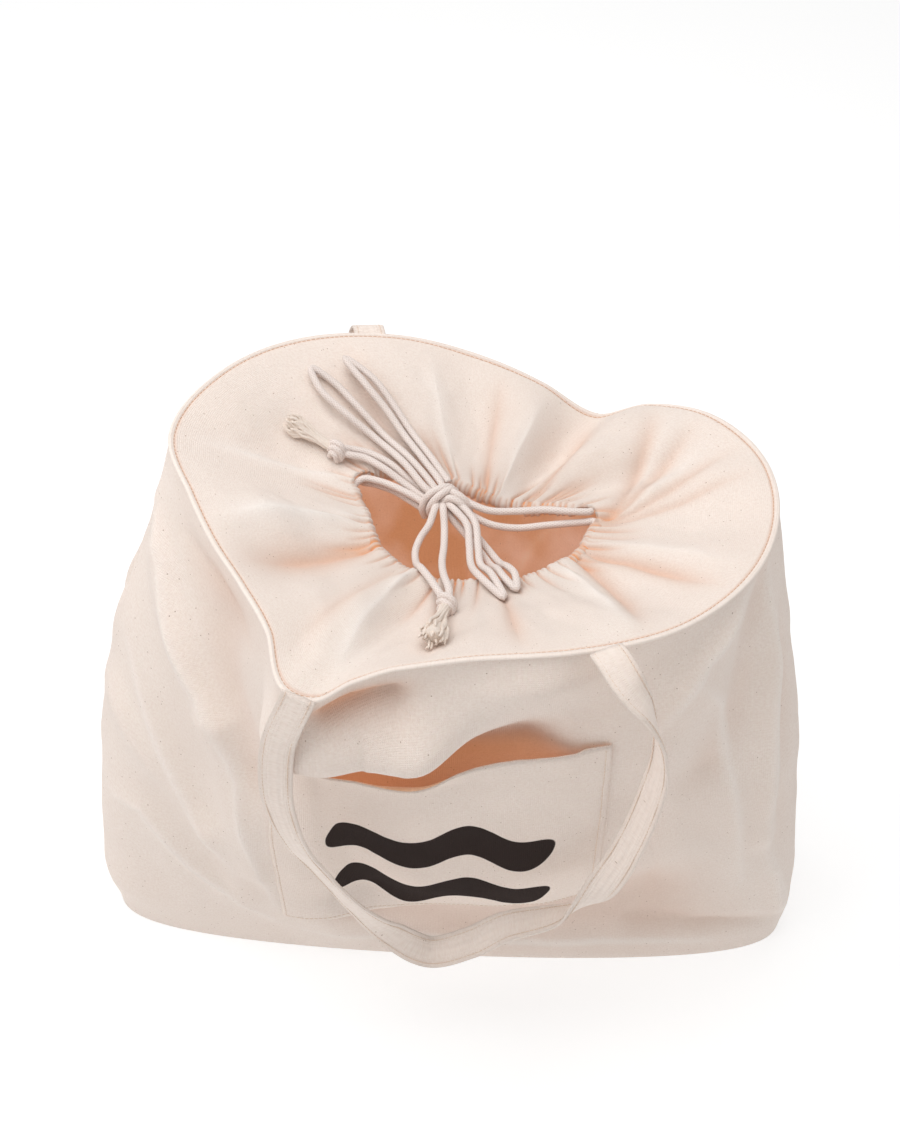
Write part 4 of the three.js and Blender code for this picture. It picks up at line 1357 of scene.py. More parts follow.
@dataclass
class Mouth:
    """The gathered collar, its two hem tunnels and their seams."""

    collar_node: str = "collar"
    round_mm: float = 1180.0
    wide_mm: float = 115.0
    hem_mm: float = 13.0
    wall: float = 1.2
    sag: float = 3.0
    lip: float = 0.6
    welt: float = 1.5
    stitch_inset: float = 2.7
    hem_gap: float = 0.9
    hem_start: float = 80.0
    hem_turn: float = 125.0
    exit_turn: float = 112.0
    tunnel_wall: float = 1.0
    tunnel_round: float = 33.0
    tunnel_degree: float = 3.2
    tunnel_rows: float = 2.6
    pleat: float = 4.1
    crevices: list[Crevice] = field(init=False)
    bearings: np.ndarray = field(init=False)
    lengths: np.ndarray = field(init=False)

    def __post_init__(self) -> None:
        """Set out the creases round the mouth, unevenly as hand drawing leaves them."""
        self.bearings = np.linspace(LEFT_SEAM, LEFT_SEAM + 360, 1441)
        self.lengths = far_along(MOUTH.points(self.bearings))
        rng = np.random.default_rng(5)
        self.crevices = []
        at = 2.0
        while at < self.lengths[-1] - 3:
            gap = rng.choice([rng.uniform(3.4, 5.5), rng.uniform(7.0, 13.0)], p=[0.45, 0.55])
            long = rng.choice([rng.uniform(0.55, 0.72), rng.uniform(0.76, 0.88)], p=[0.3, 0.7])
            self.crevices.append(
                Crevice(at, rng.uniform(0.8, 1.3), rng.uniform(2.6, 5.2), long, rng.uniform(-7, 7))
            )
            at += gap

    def along(self, bearing: np.ndarray) -> np.ndarray:
        """Give the distance along the mouth at bearings, in millimetres from the left seam."""
        return np.interp(LEFT_SEAM + np.mod(bearing - LEFT_SEAM, 360), self.bearings, self.lengths)

    def creases(self, bearing: np.ndarray, inward: np.ndarray) -> np.ndarray:
        """Find the depth of the tight creases.

        Args:
            bearing: Bearings from the mouth's centre.
            inward: Share of the way from the rim to the tunnels.

        Returns:
            The depth under the smooth collar.
        """
        total = self.lengths[-1]
        place = self.along(bearing)
        depth = np.zeros_like(bearing)
        for crevice in self.crevices:
            off = place - crevice.at - crevice.lean * (1 - inward)
            off = np.abs(np.mod(off + total / 2, total) - total / 2)
            grown = smooth(inward, crevice.start, 1.0)
            wide = crevice.width * (1 + 5 * (1 - inward))
            depth += crevice.depth * grown * np.exp(-((off / wide) ** 1.15))
        return depth

    def ruffle(self, bearing: np.ndarray) -> np.ndarray:
        """Find the fine pleats of the hem.

        Args:
            bearing: Bearings from the mouth's centre.

        Returns:
            From 0 on a pleat to 1 between two.
        """
        place = self.along(bearing)
        uneven = place + 0.9 * np.sin(place / 4.3) + 1.1 * np.sin(place / 11)
        return 1 - np.abs(np.sin(math.pi * uneven / self.pleat))

    def long_creases(self, bearing: np.ndarray, share: np.ndarray) -> np.ndarray:
        """Find the height of the long creases, which are sharp at the mouth and fade to the rim.

        Args:
            bearing: Bearings from the mouth's centre.
            share: Share of the way from the rim to the tunnels.

        Returns:
            The height over the smooth collar.
        """
        lift = np.zeros_like(bearing)
        for fold in LONG_CREASES:
            off = turned_from(bearing, fold.rim + (fold.mouth - fold.rim) * share**1.3)
            fade = smooth(share, 0.0, 0.5) * (1 - 0.5 * smooth(share, 0.9, 1.0))
            lift += fold.depth * fade * np.exp(-(np.abs(off / fold.width) ** 1.3))
        return lift

    def exits(self, bearing: np.ndarray) -> np.ndarray:
        """Rise to one where the cord comes out of the hem."""
        offs = [turned_from(bearing, at) / (EXIT_HALF_GAP + 1) for at in (LEFT_EXIT, RIGHT_EXIT)]
        return np.exp(-(offs[0] ** 4)) + np.exp(-(offs[1] ** 4))

    def collar(self, turn: np.ndarray, inward: np.ndarray) -> np.ndarray:
        """Find points of the collar's upper surface.

        Args:
            turn: Share of the way round from the left seam.
            inward: Millimetres of welt below 0, then the share of the way from the rim to the hem, and
                from 1 to 2 the share of the way over the hem.

        Returns:
            The points, in millimetres.
        """
        bearing = LEFT_SEAM + 360 * turn
        centre, aside, high = MOUTH.frame(bearing)
        rim, out, _ = RIM.frame(bearing)
        share, over = np.clip(inward, 0, 1), np.clip(inward - 1, 0, 1)
        deep = self.creases(bearing, share)
        angle = np.radians(self.hem_start + over * (self.hem_turn - self.exit_turn * self.exits(bearing)))
        pinch = (0.42 * deep + 1.1 * self.ruffle(bearing)) * smooth(over, -0.2, 0.5) * (over > 0)
        hug = TUNNEL_RADIUS + self.hem_gap - pinch
        spoke = aside * np.cos(angle)[:, None] + high * np.sin(angle)[:, None]
        edge = centre + spoke * hug[:, None]
        spot = rim + (edge - rim) * share[:, None]
        swell = np.sin(math.pi * share)
        flatter = share + (smooth(share, 0, 1) - share) * self.lip
        lift = (edge[:, 2] - rim[:, 2]) * (flatter - share) - self.sag * swell
        for fold in COLLAR_FOLDS:
            off = turned_from(bearing, fold.rim + (fold.mouth - fold.rim) * share)
            lift += fold.depth * swell * np.exp(-((off / fold.width) ** 2))
        a, b = turn * self.round_mm, share * np.linalg.norm(edge - rim, axis=1)
        joined = smooth(np.minimum(turn, 1 - turn), 0, 0.03)
        lift += joined * swell * (rumple(a, b, 31, (35, 110), 1.3) + rumple(a, b, 32, (12, 34), 0.3))
        lift += self.long_creases(bearing, share)
        # The rim seam's rounded edge, and the groove that its topstitching draws in.
        lift += 0.5 * np.exp(-(((b - 1.0) / 0.9) ** 2))
        lift -= 0.8 * np.exp(-(((b - self.stitch_inset) / 0.7) ** 2))
        lift -= 0.75 * deep * (1 - smooth(over, 0, 0.35))
        spot[:, 2] += lift
        rolled = np.clip(-inward, 0, None) / self.welt
        spot += self.welt * (np.sin(rolled)[:, None] * out)
        spot[:, 2] -= self.welt * (1 - np.cos(rolled))
        return spot

    def cloth(self, turn: np.ndarray, inward: np.ndarray) -> np.ndarray:
        """Lay the collar out flat, in millimetres."""
        across = np.clip(inward, 0, 1) * self.wide_mm + np.clip(inward - 1, 0, 1) * self.hem_mm
        return np.stack([turn * self.round_mm, across], axis=-1)

    def glow(self, turn: np.ndarray, inward: np.ndarray) -> np.ndarray:
        """Paint warm shade and glow down in the creases, where light has come through other cloth, and a
        highlight on the crests.

        Args:
            turn: Share of the way round from the left seam.
            inward: As for the collar's surface.

        Returns:
            The painted warmth, below zero where a highlight is painted on crests.
        """
        bearing, share = LEFT_SEAM + 360 * turn, np.clip(inward, 0, 1)
        over = smooth(inward, 1.0, 1.3)
        deep = self.creases(bearing, share) / 7 + 0.35 * over * self.ruffle(bearing)
        ridge = self.long_creases(bearing, share)
        long, highlight_share = np.clip(-ridge, 0, None) / 12, 0.12 * np.clip(ridge, 0, None)
        # Painted shade in the topstitch groove, and a painted highlight on the welt's rounded edge.
        # The collar is about 100 mm wide, so a hundredth of the way in is about a millimetre.
        groove = 0.3 * np.exp(-(((share * 100 - 2.6) / 0.7) ** 2)) * (inward > 0)
        edge = 0.15 * np.exp(-((share * 100 - 0.6) ** 2))
        return np.clip(deep + long + groove - edge - highlight_share, -0.5, 0.8)

    def build(self, finishes: Finishes) -> list[bpy.types.Object]:
        """Build and dress the collar, the rim's topstitching and the tunnels.

        Args:
            finishes: The bag's materials.

        Returns:
            The collar, its stitches and the two tunnels.
        """
        mesh = PieceMesh("collar_cloth")
        welt = np.linspace(-1.9 * self.welt, -0.25, 7)
        close = np.array([0.0, 0.008, 0.016, 0.022, 0.028, 0.034, 0.042, 0.052])
        spread = 0.06 + 0.94 * np.linspace(0, 1, 38) ** 0.85
        rows = np.concatenate([welt, close, spread, 1 + np.linspace(0.08, 1, 13)])
        mesh.grid(np.linspace(0, 1, 741), rows, self.collar, self.cloth, self.glow, closed=True)
        skins = (finishes.canvas, finishes.inside)
        collar = mesh.build(Slot.CANVAS, *skins, node=self.collar_node, wall_mm=self.wall)
        sewing = PieceMesh("rim_topstitch")
        ring = np.linspace(0, 1, 1200)
        way = self.collar(ring, np.ones(1200)) - self.collar(ring, np.zeros(1200))
        line = self.collar(ring, self.stitch_inset / np.linalg.norm(way, axis=1))
        sewing.stitches(line, np.tile([0.0, 0.0, 1.0], (1200, 1)))
        stitch = sewing.build(Slot.CANVAS, finishes.rim_thread)
        first, last = LEFT_EXIT + EXIT_HALF_GAP, RIGHT_EXIT - EXIT_HALF_GAP
        front = self.tunnel("channel_front", first, last, finishes)
        first, last = RIGHT_EXIT + EXIT_HALF_GAP, LEFT_EXIT + 360 - EXIT_HALF_GAP
        return [collar, stitch, front, self.tunnel("channel_back", first, last, finishes)]

    def hem(self, turn: np.ndarray, bearing: np.ndarray) -> np.ndarray:
        """Find points of the tunnels' outer face.

        Args:
            turn: Share of a turn round the cord.
            bearing: Bearings from the mouth's centre.

        Returns:
            The points, in millimetres.
        """
        centre, aside, lift = MOUTH.frame(bearing)
        deep = self.creases(bearing, np.ones_like(bearing))
        radius = TUNNEL_RADIUS - 0.36 * deep - 0.9 * self.ruffle(bearing)
        angle = 2 * math.pi * turn
        spoke = aside * np.cos(angle)[:, None] - lift * np.sin(angle)[:, None]
        return centre + spoke * radius[:, None]

    def hem_glow(self, turn: np.ndarray, bearing: np.ndarray) -> np.ndarray:
        """Paint warm shade on the tunnels, most of all between their pleats."""
        deep = self.creases(bearing, np.ones_like(turn))
        return np.clip(0.2 + deep / 6 + 0.5 * self.ruffle(bearing), 0, 0.9)

    def tunnel(self, node: str, start: float, end: float, finishes: Finishes) -> bpy.types.Object:
        """Build and dress half of the hem that the cord runs in.

        Args:
            node: The solid that it stands for.
            start: The bearing of its first exit.
            end: The bearing of its last exit.
            finishes: The bag's materials.

        Returns:
            The tunnel.
        """

        def cloth(turn: np.ndarray, bearing: np.ndarray) -> np.ndarray:
            """Lay the tunnel out flat, in millimetres."""
            return np.stack([turn * self.tunnel_round, (bearing - start) * self.tunnel_degree], axis=-1)

        mesh = PieceMesh(node + "_cloth")
        rows = np.linspace(start, end, int((end - start) * self.tunnel_rows) + 1)
        mesh.grid(np.linspace(0, 1, 29), rows, self.hem, cloth, self.hem_glow, closed=True)
        skins = (finishes.canvas, finishes.inside)
        obj = mesh.build(Slot.CANVAS, *skins, node=node, wall_mm=self.tunnel_wall)
        long = run_length(MOUTH.points(np.linspace(start, end, 200))) * MM
        return obj


@dataclass(frozen=True)
class Pocket:
    """The patch pocket: sewn round three sides, gaping at the top, with a turned hem."""

    node: str = "front_pocket"
    left: float = POCKET_LEFT
    width: float = POCKET_RIGHT - POCKET_LEFT
    height: float = 225.0
    bottom: Spot = (68.0, 88.0)
    top: Spot = POCKET_TOP
    corner_rise: float = 22.0
    tip_rise: float = 2.6
    standoff: float = 1.4
    gape: float = 7.0
    seam_inset: float = 3.5
    seam_top: float = 0.985

    def surface(self, a: np.ndarray, b: np.ndarray) -> np.ndarray:
        """Find points of the pocket's outer face.

        Args:
            a: Share of the way from its left edge.
            b: Share of the way up from its lower edge.

        Returns:
            The points, in millimetres.
        """
        held = np.clip(a, 0, 1)
        bottom = self.bottom[0] + (self.bottom[1] - self.bottom[0]) * a + self.corner_rise * held**9
        top = self.top[0] + (self.top[1] - self.top[0]) * a + self.tip_rise * smooth(a, 0.9, 0.93)
        along = (self.left + self.width * a) / PANEL_WIDTH
        up = (bottom + (top - bottom) * b) / RIM_HEIGHT
        arch = np.clip(np.sin(math.pi * held**0.75), 0, 1) ** 1.5
        gape = self.gape * np.clip(b, 0, 1) ** 2.4 * arch
        across_mm, up_mm = a * self.width, b * (top - bottom)
        near = np.minimum(np.minimum(across_mm, self.width - across_mm), up_mm)
        tuck = 1.1 * np.exp(-((np.clip(near, 0, None) / 1.3) ** 2))
        sewn = 0.4 * np.exp(-(((near - self.seam_inset) / 0.9) ** 2))
        hem = 0.7 * smooth(b * self.height, 207, 209)
        puff = 0.8 * rumple(across_mm, up_mm, 47, (40, 130), 1.0) * np.clip(near / 25, 0, 1)
        thick = self.standoff + gape + CANVAS_MM + hem + puff - tuck - sewn
        return POCKET_GROUND.surface(along, up) + POCKET_GROUND.normal(along, up) * thick[:, None]

    def cloth(self, a: np.ndarray, b: np.ndarray) -> np.ndarray:
        """Lay the pocket out flat, in millimetres."""
        return np.stack([a * self.width, b * self.height], axis=-1)

    def build(self, finishes: Finishes) -> list[bpy.types.Object]:
        """Build and dress the pocket and its seams.

        Args:
            finishes: The bag's materials.

        Returns:
            The pocket and its stitches.
        """
        mesh = PieceMesh("front_pocket_cloth")
        edge = np.array([0.0, 0.003, 0.006, 0.01, 0.014, 0.018, 0.023])
        a = np.concatenate([edge, np.linspace(0.03, 0.97, 96), (1 - edge)[::-1]])
        b = np.concatenate([edge, np.linspace(0.03, 0.91, 70), [0.918, 0.925, 0.95, 0.975, 1.0]])
        mesh.grid(a, b, self.surface, self.cloth)
        skins = (finishes.printed, finishes.inside)
        pocket = mesh.build(Slot.PRINTED, *skins, node=self.node, wall_mm=CANVAS_MM)
        sewing = PieceMesh("pocket_topstitch")
        rest = np.linspace(0.0, 1.0, 240)
        in_a, in_b = self.seam_inset / self.width, self.seam_inset / self.height
        climb = in_b + (self.seam_top - in_b) * rest
        runs = (
            (np.full(240, in_a), climb[::-1]),
            (in_a + (1 - 2 * in_a) * rest, np.full(240, in_b)),
            (np.full(240, 1 - in_a), climb),
        )
        for across, up in runs:
            out = FRONT.normal((self.left + self.width * across) / PANEL_WIDTH, np.full(240, 0.4))
            sewing.stitches(self.surface(across, up), out)
        stitch = sewing.build(Slot.PRINTED, finishes.thread)
        return [pocket, stitch]


@dataclass(frozen=True)
class Handle:
    """A flat self-fabric strap, folded and topstitched along both edges."""

    node: str
    rows: tuple[StrapRow, ...]
    width: float = 22.0
    thickness: float = 2.6
    seam_inset: float = 3.0
    seam_depth: float = 0.22
    steps: int = 230
    blend: int = 19

    def frames(self, count: int) -> tuple[np.ndarray, np.ndarray, np.ndarray]:
        """Set out the strap.

        Args:
            count: How many points there are along it.

        Returns:
            Its middle line, the ways to its side and the ways out of its face.
        """
        knots = [row.at for row in self.rows]
        line, dense = catmull(knots, count), catmull(knots, 2400)
        share = far_along(dense)
        stops = [share[int(np.argmin(np.linalg.norm(dense - k, axis=1)))] for k in np.array(knots, float)]
        wanted = np.linspace(0, share[-1], count)
        kernel = np.hanning(self.blend) / np.hanning(self.blend).sum()
        face = np.zeros_like(line)
        for k in range(3):
            turned = np.interp(wanted, stops, [row.face[k] for row in self.rows])
            face[:, k] = np.convolve(np.pad(turned, self.blend // 2, mode="edge"), kernel, mode="valid")
        run = unit(np.gradient(line, axis=0))
        aside = unit(np.cross(run, face))
        return line, aside, unit(np.cross(aside, run))

    def section(self, turn: np.ndarray) -> tuple[np.ndarray, np.ndarray]:
        """Find points of the strap's flat section, with a groove along each seam.

        Args:
            turn: Share of the way round it.

        Returns:
            The distance to the side of its middle, and the distance out of it.
        """
        half, thick = self.width / 2, self.thickness / 2
        c, s = np.cos(2 * math.pi * turn), np.sin(2 * math.pi * turn)
        across = half * np.sign(c) * np.abs(c) ** 0.55
        groove = self.seam_depth * np.exp(-(((np.abs(across) - (half - self.seam_inset)) / 0.8) ** 2))
        return across, np.sign(s) * (thick * np.abs(s) ** 0.35 - groove * (np.abs(s) > 0.3))

    def build(self, finishes: Finishes) -> list[bpy.types.Object]:
        """Build and dress the strap and its seams.

        Args:
            finishes: The bag's materials.

        Returns:
            The strap and its stitches.
        """
        line, aside, out = self.frames(self.steps + 1)
        far = far_along(line)

        def place(u: np.ndarray, v: np.ndarray) -> np.ndarray:
            """Find points by the share round the section and the number along the strap.

            Args:
                u: Share of the way round the section.
                v: Number along the strap.

            Returns:
                The points, in millimetres.
            """
            k = v.astype(int)
            across, depth = self.section(u)
            wave = 0.35 * rumple(far[k], across, 61, (25, 70), 1.0)
            return line[k] + aside[k] * across[:, None] + out[k] * (depth + wave)[:, None]

        def cloth(u: np.ndarray, v: np.ndarray) -> np.ndarray:
            """Lay the strap out flat, in millimetres."""
            return np.stack([u * 2 * self.width, far[v.astype(int)]], axis=-1)

        mesh = PieceMesh(self.node + "_cloth")
        rows = np.arange(self.steps + 1, dtype=float)
        mesh.grid(np.linspace(0, 1, 57), rows, place, cloth, closed=True, capped=True)
        bmesh.ops.recalc_face_normals(mesh.bm, faces=mesh.bm.faces[:])
        strap = mesh.build(Slot.CANVAS, finishes.canvas, node=self.node)
        sewing = PieceMesh(self.node + "_topstitch")
        to_side, to_face = self.width / 2 - self.seam_inset, self.thickness / 2 - STITCH.rise
        for side in (-1, 1):
            for face in (-1, 1):
                sewing.stitches(line + aside * side * to_side + out * face * to_face, out * face)
        stitch = sewing.build(Slot.CANVAS, finishes.thread)
        flat = (0.022, round(run_length(line) * MM, 3))
        return [strap, stitch]


class Cord(NamedTuple):
    """A stretch of the drawcord, with the points that it goes through."""

    node: str
    route: tuple[Point, ...]


class Loop(NamedTuple):
    """A loop of the bow: the line from the knot to the tip, and half the space between its two strands."""

    node: str
    spine: tuple[Point, ...]
    half: tuple[float, ...]


STRANDS = (
    Cord("cord_left_lower", ((-68.9, 45.7, 363.6), (-68.6, 52, 364.8), (-62.5, 57, 366.6), (-52, 55, 366.8),
                             (-40, 49.2, 366.8), (-28, 42, 366.2), (-20.2, 37.4, 365.4))),
    Cord("cord_left_upper", ((-58.5, 65.7, 364), (-63.4, 64.2, 363.4), (-64.4, 60, 361.8), (-54, 57.8, 361),
                             (-40.5, 52.4, 360), (-28, 43.6, 358.8), (-18.2, 37, 358.6))),
    Cord("cord_right_lower", ((97.4, 20.8, 363.6), (96, 26.4, 362.6), (89, 27, 361), (66, 25.2, 359),
                              (44, 23.2, 357), (27, 24, 358.5), (14.5, 29.5, 360.5), (4.6, 36.9, 362.6))),
    Cord("cord_right_upper", ((86.4, 38, 363.2), (92.4, 36.4, 364.6), (93.4, 31.4, 367), (79.4, 29.6, 368),
                              (62, 32, 366.5), (43, 31.2, 365), (25.5, 30.4, 365.4), (13, 34, 367.4),
                              (4.8, 38.4, 369))),
)
TAILS = (
    Cord("tail_left_upper", ((-16.7, 46.8, 363), (-30, 56.8, 366.5), (-46, 67, 373.4), (-61, 74.5, 375.4),
                             (-75, 75.4, 377.6))),
    Cord("tail_left_lower", ((-19.4, 42.6, 364), (-33, 52, 367.2), (-49, 61.2, 373.4), (-62.5, 68.8, 375.4),
                             (-75, 69.7, 377.6))),
    Cord("tail_front_outer", ((-11.5, 27.2, 369), (-14.9, 16.5, 363.5), (-20.3, 8.5, 358.5), (-23, -3, 357),
                              (-21.5, -17, 359.5), (-17, -31, 368.4), (-11, -44, 372.6),
                              (-3.3, -59.5, 374.4))),
    Cord("tail_front_inner", ((-6.1, 27, 369), (-4.6, 15, 363.5), (-4, -1.5, 361.5), (-4.2, -20, 365),
                              (-2.5, -37, 370.6), (2.7, -59.5, 375.4))),
)
LOOPS = (
    Loop("loop_back_outer", ((-16.5, 47.8, 369.4), (-32.9, 67.3, 375.2), (-53.3, 89.5, 377),
                             (-73.6, 103, 389), (-93, 118, 399), (-104, 128, 405.5)),
         (2.8, 2.9, 3.4, 5.6, 6, 0)),
    Loop("loop_back_inner", ((-5.9, 51.6, 369.4), (-19, 70.8, 374.2), (-34.5, 92.5, 379), (-48, 108.5, 389),
                             (-63, 122.5, 400), (-81, 137, 408)),
         (2.8, 2.9, 3, 3.4, 4, 0)),
    Loop("loop_front_outer", ((1.3, 30.7, 369.4), (13, 16.2, 366.5), (15.7, -0.5, 362.5), (18, -20, 363),
                              (25, -37, 370.4), (37.5, -59, 373)),
         (2.8, 2.9, 2.9, 3.1, 3.8, 0)),
    Loop("loop_front_inner", ((0.2, 29.4, 362.6), (12, 17.3, 356.5), (22.7, 3.5, 353.5), (30.5, -12, 356.5),
                              (36, -26, 366.4), (40.5, -38, 371.6), (45, -50, 372)),
         (2.8, 2.9, 2.9, 3.2, 3.6, 3.8, 0)),
)


class Turn(NamedTuple):
    """A point on a turn of cord in a knot: right of the knot's middle, above it, and towards the viewer."""

    right: float
    above: float
    near: float


BOW_TURNS = (
    (Turn(-11.5, -11.5, -5), Turn(-13.2, -6.5, 1.5), Turn(-11.4, -0.6, 5.5), Turn(-6.4, 4.6, 8),
     Turn(0, 7.9, 7), Turn(4.6, 8.8, 3), Turn(7, 7.4, -3)),
    (Turn(-6, -12, -3), Turn(-8.2, -7.4, 4), Turn(-6.4, -3, 8), Turn(-2.4, 1.7, 10), Turn(2.4, 5.3, 9),
     Turn(6.2, 7.2, 5), Turn(9, 6.2, -1)),
    (Turn(0, 2.6, 3), Turn(6, 5.2, 6.5), Turn(12, 3, 7.6), Turn(16.4, -1, 6), Turn(18.8, -6, 1.5),
     Turn(18.4, -10, -4)),
    (Turn(-0.5, -1.4, 5), Turn(5.4, 1, 9.4), Turn(10.8, -0.8, 10), Turn(15, -4.6, 8), Turn(17, -9, 4),
     Turn(16.2, -12.4, -2)),
)
STOPPER_TURNS = (
    (Turn(-5, 3.6, -1), Turn(-1.4, 4.6, 3), Turn(3.2, 2.4, 4.2), Turn(5, -1.8, 2), Turn(3.6, -5.2, -2)),
    (Turn(-5.2, 0, 0), Turn(-2.4, 1, 4), Turn(1.6, -1.2, 5.2), Turn(3.6, -4.4, 3), Turn(2.4, -7, -1.5)),
    (Turn(-4.6, -4.4, -1), Turn(-2.8, -2.4, 3.4), Turn(-0.4, -4.4, 4.2), Turn(0.6, -7.6, 0)),
)


@dataclass(frozen=True)
class Knot:
    """A tied knot, drawn as the turns of cord that show."""

    node: str
    centre: Point
    turns: tuple[tuple[Turn, ...], ...]
    facing: Point = (0.0, -0.719, 0.695)
    cord: float = CORD_MM

    def build(self, finishes: Finishes) -> bpy.types.Object:
        """Build and dress the knot.

        Args:
            finishes: The bag's materials.

        Returns:
            The knot.
        """
        mesh = PieceMesh(self.node + "_cord")
        near = unit(np.asarray(self.facing))
        right = unit(np.cross([0.0, 0.0, 1.0], near))
        axes = np.stack([right, np.cross(near, right), near])
        for turn in self.turns:
            line = catmull(np.asarray(turn) @ axes + np.asarray(self.centre), 40)
            mesh.tube(line, self.cord / 2, CORD_SIDES)
        return mesh.build(Slot.CORD, finishes.cord, node=self.node)


@dataclass(frozen=True)
class Tassel:
    """A frayed cord end: thick plies in a twisted neck, which open into curled tips."""

    node: str
    start: Point
    end: Point
    slim: float = 3.0
    wide: float = 7.6
    plies: int = 64
    twist: float = 2.2
    curls: float = 14.0
    seed: int = 3

    def spread(self, t: np.ndarray) -> np.ndarray:
        """Give the bundle's radius at shares of its length."""
        return self.slim + (self.wide - self.slim) * smooth(t, 0.3, 1.0)

    def build(self, finishes: Finishes) -> bpy.types.Object:
        """Build and dress the tassel.

        Args:
            finishes: The bag's materials.

        Returns:
            The tassel.
        """
        rng = np.random.default_rng(self.seed)
        mesh = PieceMesh(self.node + "_yarns")
        start = np.asarray(self.start, float)
        axis = np.asarray(self.end, float) - start
        side = unit(np.cross([0.0, 0.0, 1.0], axis))
        up = np.cross(unit(axis), side)
        t = np.linspace(0, 1, 22)
        # A core fills the bundle, so that no light comes through between its plies.
        mesh.tube(start + axis * (0.9 * t)[:, None], 0.72 * self.spread(0.9 * t), 10)
        for _ in range(self.plies):
            angle, out = rng.uniform(0, 2 * math.pi), math.sqrt(rng.uniform(0.03, 1))
            reach, curl, phase = rng.uniform(0.78, 1.02), rng.uniform(0.5, 1.3), rng.uniform(0, 2 * math.pi)
            turn = angle + self.twist * t * (1 - 0.5 * t)
            wave = curl * smooth(t, 0.35, 1.0)
            radial = out * self.spread(t)
            line = (
                start
                + axis * (t * reach)[:, None]
                + side * (radial * np.cos(turn) + wave * np.sin(phase + self.curls * t))[:, None]
                + up * (0.75 * radial * np.sin(turn) + wave * np.cos(phase + self.curls * t))[:, None]
            )
            mesh.tube(line, np.interp(t, [0, 0.9, 1], [1.0, 1.05, 0.6]), 7)
        return mesh.build(Slot.CORD, finishes.yarn, node=self.node)


@dataclass
class Drawcord:
    """The drawcord: hidden stretches, strands, the bow, its doubled ends, their knots and tassels."""

    knot: Point = (-7.5, 39.0, 366.0)
    left_stopper: Point = (-82.0, 72.5, 379.0)
    front_stopper: Point = (1.5, -67.0, 374.0)
    stopper_cord: float = 4.4
    made: dict[str, tuple[bpy.types.Object, np.ndarray]] = field(default_factory=dict)

    def stretch(self, node: str, line: np.ndarray, finishes: Finishes) -> None:
        """Build and dress one stretch of cord.

        Args:
            node: The solid that it stands for.
            line: Its centreline, in millimetres.
            finishes: The bag's materials.
        """
        mesh = PieceMesh(node + "_cord")
        mesh.tube(line, CORD_MM / 2, CORD_SIDES)
        self.made[node] = (mesh.build(Slot.CORD, finishes.cord, node=node), line)

    def tied(self, route: Sequence[Point]) -> list[np.ndarray]:
        """Carry a route on into each knot that it ends beside, so that no cut end shows.

        Args:
            route: The points from the solid's route.

        Returns:
            The route, with a point inside the knot at each such end.
        """
        points = [np.asarray(p, float) for p in route]
        knots = ((self.knot, 14.5, 0.6), (self.left_stopper, 9.5, 0.7), (self.front_stopper, 9.5, 0.7))
        for centre, near, share in knots:
            middle = np.asarray(centre)
            if np.linalg.norm(points[0] - middle) < near:
                points.insert(0, points[0] + (middle - points[0]) * share)
            if np.linalg.norm(points[-1] - middle) < near:
                points.append(points[-1] + (middle - points[-1]) * share)
        return points

    def loop_line(self, loop: Loop) -> np.ndarray:
        """Run out on one side of a loop's spine, round the tip and back on the other.

        Args:
            loop: The loop.

        Returns:
            The cord's centreline, in millimetres.
        """
        points = np.asarray(loop.spine, float)
        sides = []
        for sign in (1, -1):
            strand = []
            for k in range(len(points) - 1):
                run = points[k + 1] - points[max(k - 1, 0)]
                aside = unit(np.array([-run[1], run[0], 0.0]))
                strand.append(points[k] + aside * sign * loop.half[k])
            sides.append(strand)
        return catmull(self.tied([*sides[0], points[-1], *reversed(sides[1])]), 150)

    def build(self, finishes: Finishes) -> list[bpy.types.Object]:
        """Build and dress every stretch of the cord and what is on it.

        Args:
            finishes: The bag's materials.

        Returns:
            The stretches, the knots and the tassels.
        """
        end = EXIT_HALF_GAP + 1
        hidden = (
            ("cord_in_front", LEFT_EXIT + end, RIGHT_EXIT - end),
            ("cord_in_back", RIGHT_EXIT + end, LEFT_EXIT + 360 - end),
        )
        for node, first, last in hidden:
            self.stretch(node, even(MOUTH.points(np.linspace(first, last, 120)), 90), finishes)
        for cord in (*STRANDS, *TAILS):
            self.stretch(cord.node, catmull(self.tied(cord.route), 90), finishes)
        for loop in LOOPS:
            self.stretch(loop.node, self.loop_line(loop), finishes)
        bow = Knot("bow_knot", self.knot, BOW_TURNS).build(finishes)
        slim = self.stopper_cord
        left = Knot("stopper_left", self.left_stopper, STOPPER_TURNS, cord=slim).build(finishes)
        front = Knot("stopper_front", self.front_stopper, STOPPER_TURNS, cord=slim).build(finishes)
        tassel_left = Tassel("tassel_left", (-85, 73.6, 380), (-118, 87.4, 391.4), seed=3).build(finishes)
        fringe = Tassel("tassel_front", (1, -70, 374.6), (-5, -117, 392), wide=8.6, seed=8)
        tassel_front = fringe.build(finishes)
        on_cord = {
            "cord_right_upper": [bow],
            "tail_left_upper": [left, tassel_left],
            "tail_front_inner": [front, tassel_front],
        }
        for node, (obj, line) in self.made.items():
            round(run_length(line) * MM, 4)
            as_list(on_cord.get(node, []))
        return [obj for obj, _ in self.made.values()] + [bow, left, front, tassel_left, tassel_front]


class SoftBox(NamedTuple):
    """A square soft box that is aimed at the bag, in metres and watts."""

    name: str
    spot: Point
    size: float
    power: float


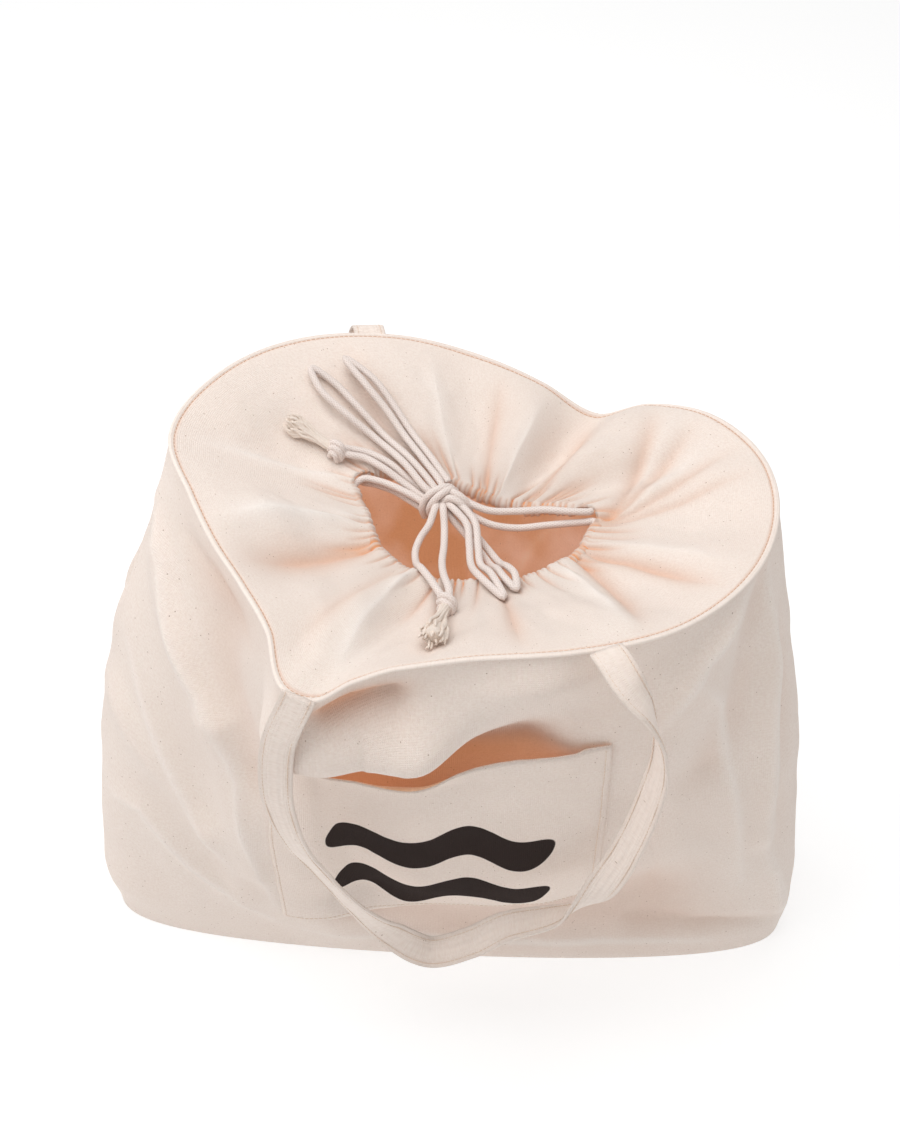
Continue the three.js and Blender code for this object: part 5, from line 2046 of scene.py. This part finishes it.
@dataclass(frozen=True)
class Studio:
    """The floor, the light and the camera."""

    eye: Point = (0.0474, -0.9056, 1.2205)
    aim: Point = (-0.0187, 0.3565, 0.0)
    lens: float = 60.0
    floor_radius: float = 9.0
    floor_grey: str = "#bcbcbc"
    floor_light: float = 0.62
    room_light: float = 0.31
    lit_point: Point = (0.0, 0.0, 0.2)
    boxes: tuple[SoftBox, ...] = (
        SoftBox("overhead box", (-0.4, 0.1, 2.3), 2.2, 39.0),
        SoftBox("left box", (-1.9, -1.0, 1.4), 1.6, 12.0),
        SoftBox("right box", (1.9, -0.9, 1.3), 1.6, 5.5),
    )

    def put(self, name: str, data: bpy.types.ID, spot: Point, aim: Point) -> bpy.types.Object:
        """Put a camera or a lamp in the scene.

        Args:
            name: Its name.
            data: The camera or the lamp.
            spot: Where it stands, in metres.
            aim: What it looks at.

        Returns:
            The object.
        """
        obj = bpy.data.objects.new(name, data)
        obj.location = spot
        obj.rotation_euler = (Vector(aim) - Vector(spot)).to_track_quat("-Z", "Y").to_euler()
        bpy.context.scene.collection.objects.link(obj)
        return obj

    def camera(self) -> None:
        """Place the camera at the photograph's viewing angle."""
        data = bpy.data.cameras.new("camera")
        data.lens = self.lens
        data.sensor_width = 36.0
        data.clip_end = 40.0
        bpy.context.scene.camera = self.put("camera", data, self.eye, self.aim)

    def floor(self) -> None:
        """Lay a plain white floor that glows a little, as a lit table does."""
        bm = bmesh.new()
        bmesh.ops.create_circle(bm, cap_ends=True, segments=96, radius=self.floor_radius)
        mesh = bpy.data.meshes.new("floor")
        bm.to_mesh(mesh)
        bm.free()
        finish = Finish("white studio floor", 0.9, 0.0)
        finish.shader.inputs["Base Color"].default_value = linear(self.floor_grey)
        finish.shader.inputs["Emission Color"].default_value = linear("#ffffff")
        finish.shader.inputs["Emission Strength"].default_value = self.floor_light
        mesh.materials.append(finish.material)
        floor = bpy.data.objects.new("floor", mesh)
        bpy.context.scene.collection.objects.link(floor)

    def light(self) -> None:
        """Light the bag from a white room, a large soft box overhead and one on each side."""
        world = bpy.data.worlds.new("white room")
        world.use_nodes = True
        back = world.node_tree.nodes["Background"]
        back.inputs["Color"].default_value = (1.0, 0.99, 0.98, 1.0)
        back.inputs["Strength"].default_value = self.room_light
        bpy.context.scene.world = world
        bpy.context.scene.view_settings.view_transform = "Standard"
        for box in self.boxes:
            data = bpy.data.lights.new(box.name, "AREA")
            data.shape = "SQUARE"
            data.size = box.size
            data.energy = box.power
            self.put(box.name, data, box.spot, self.lit_point)


def main() -> None:
    """Build the scene in order."""
    logging.basicConfig(level=logging.INFO, format="%(relativeCreated)6d ms %(message)s")
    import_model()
    studio = Studio()
    studio.camera()
    finishes = Finishes()
    makers = (
        ("drawcord", Drawcord()),
        ("front wall", FRONT),
        ("back wall", BACK),
        ("base", BasePanel()),
        ("mouth", Mouth()),
        ("pocket", Pocket()),
        ("front handle", Handle("handle_front", FRONT_STRAP)),
        ("back handle", Handle("handle_back", BACK_STRAP)),
    )
    for name, maker in makers:
        for piece in maker.build(finishes):
            LOG.info("%s: %s has %d vertices", name, piece.name, len(piece.data.vertices))
    studio.floor()
    studio.light()
    bpy.context.view_layer.update()


if __name__ == "__main__":
    main()
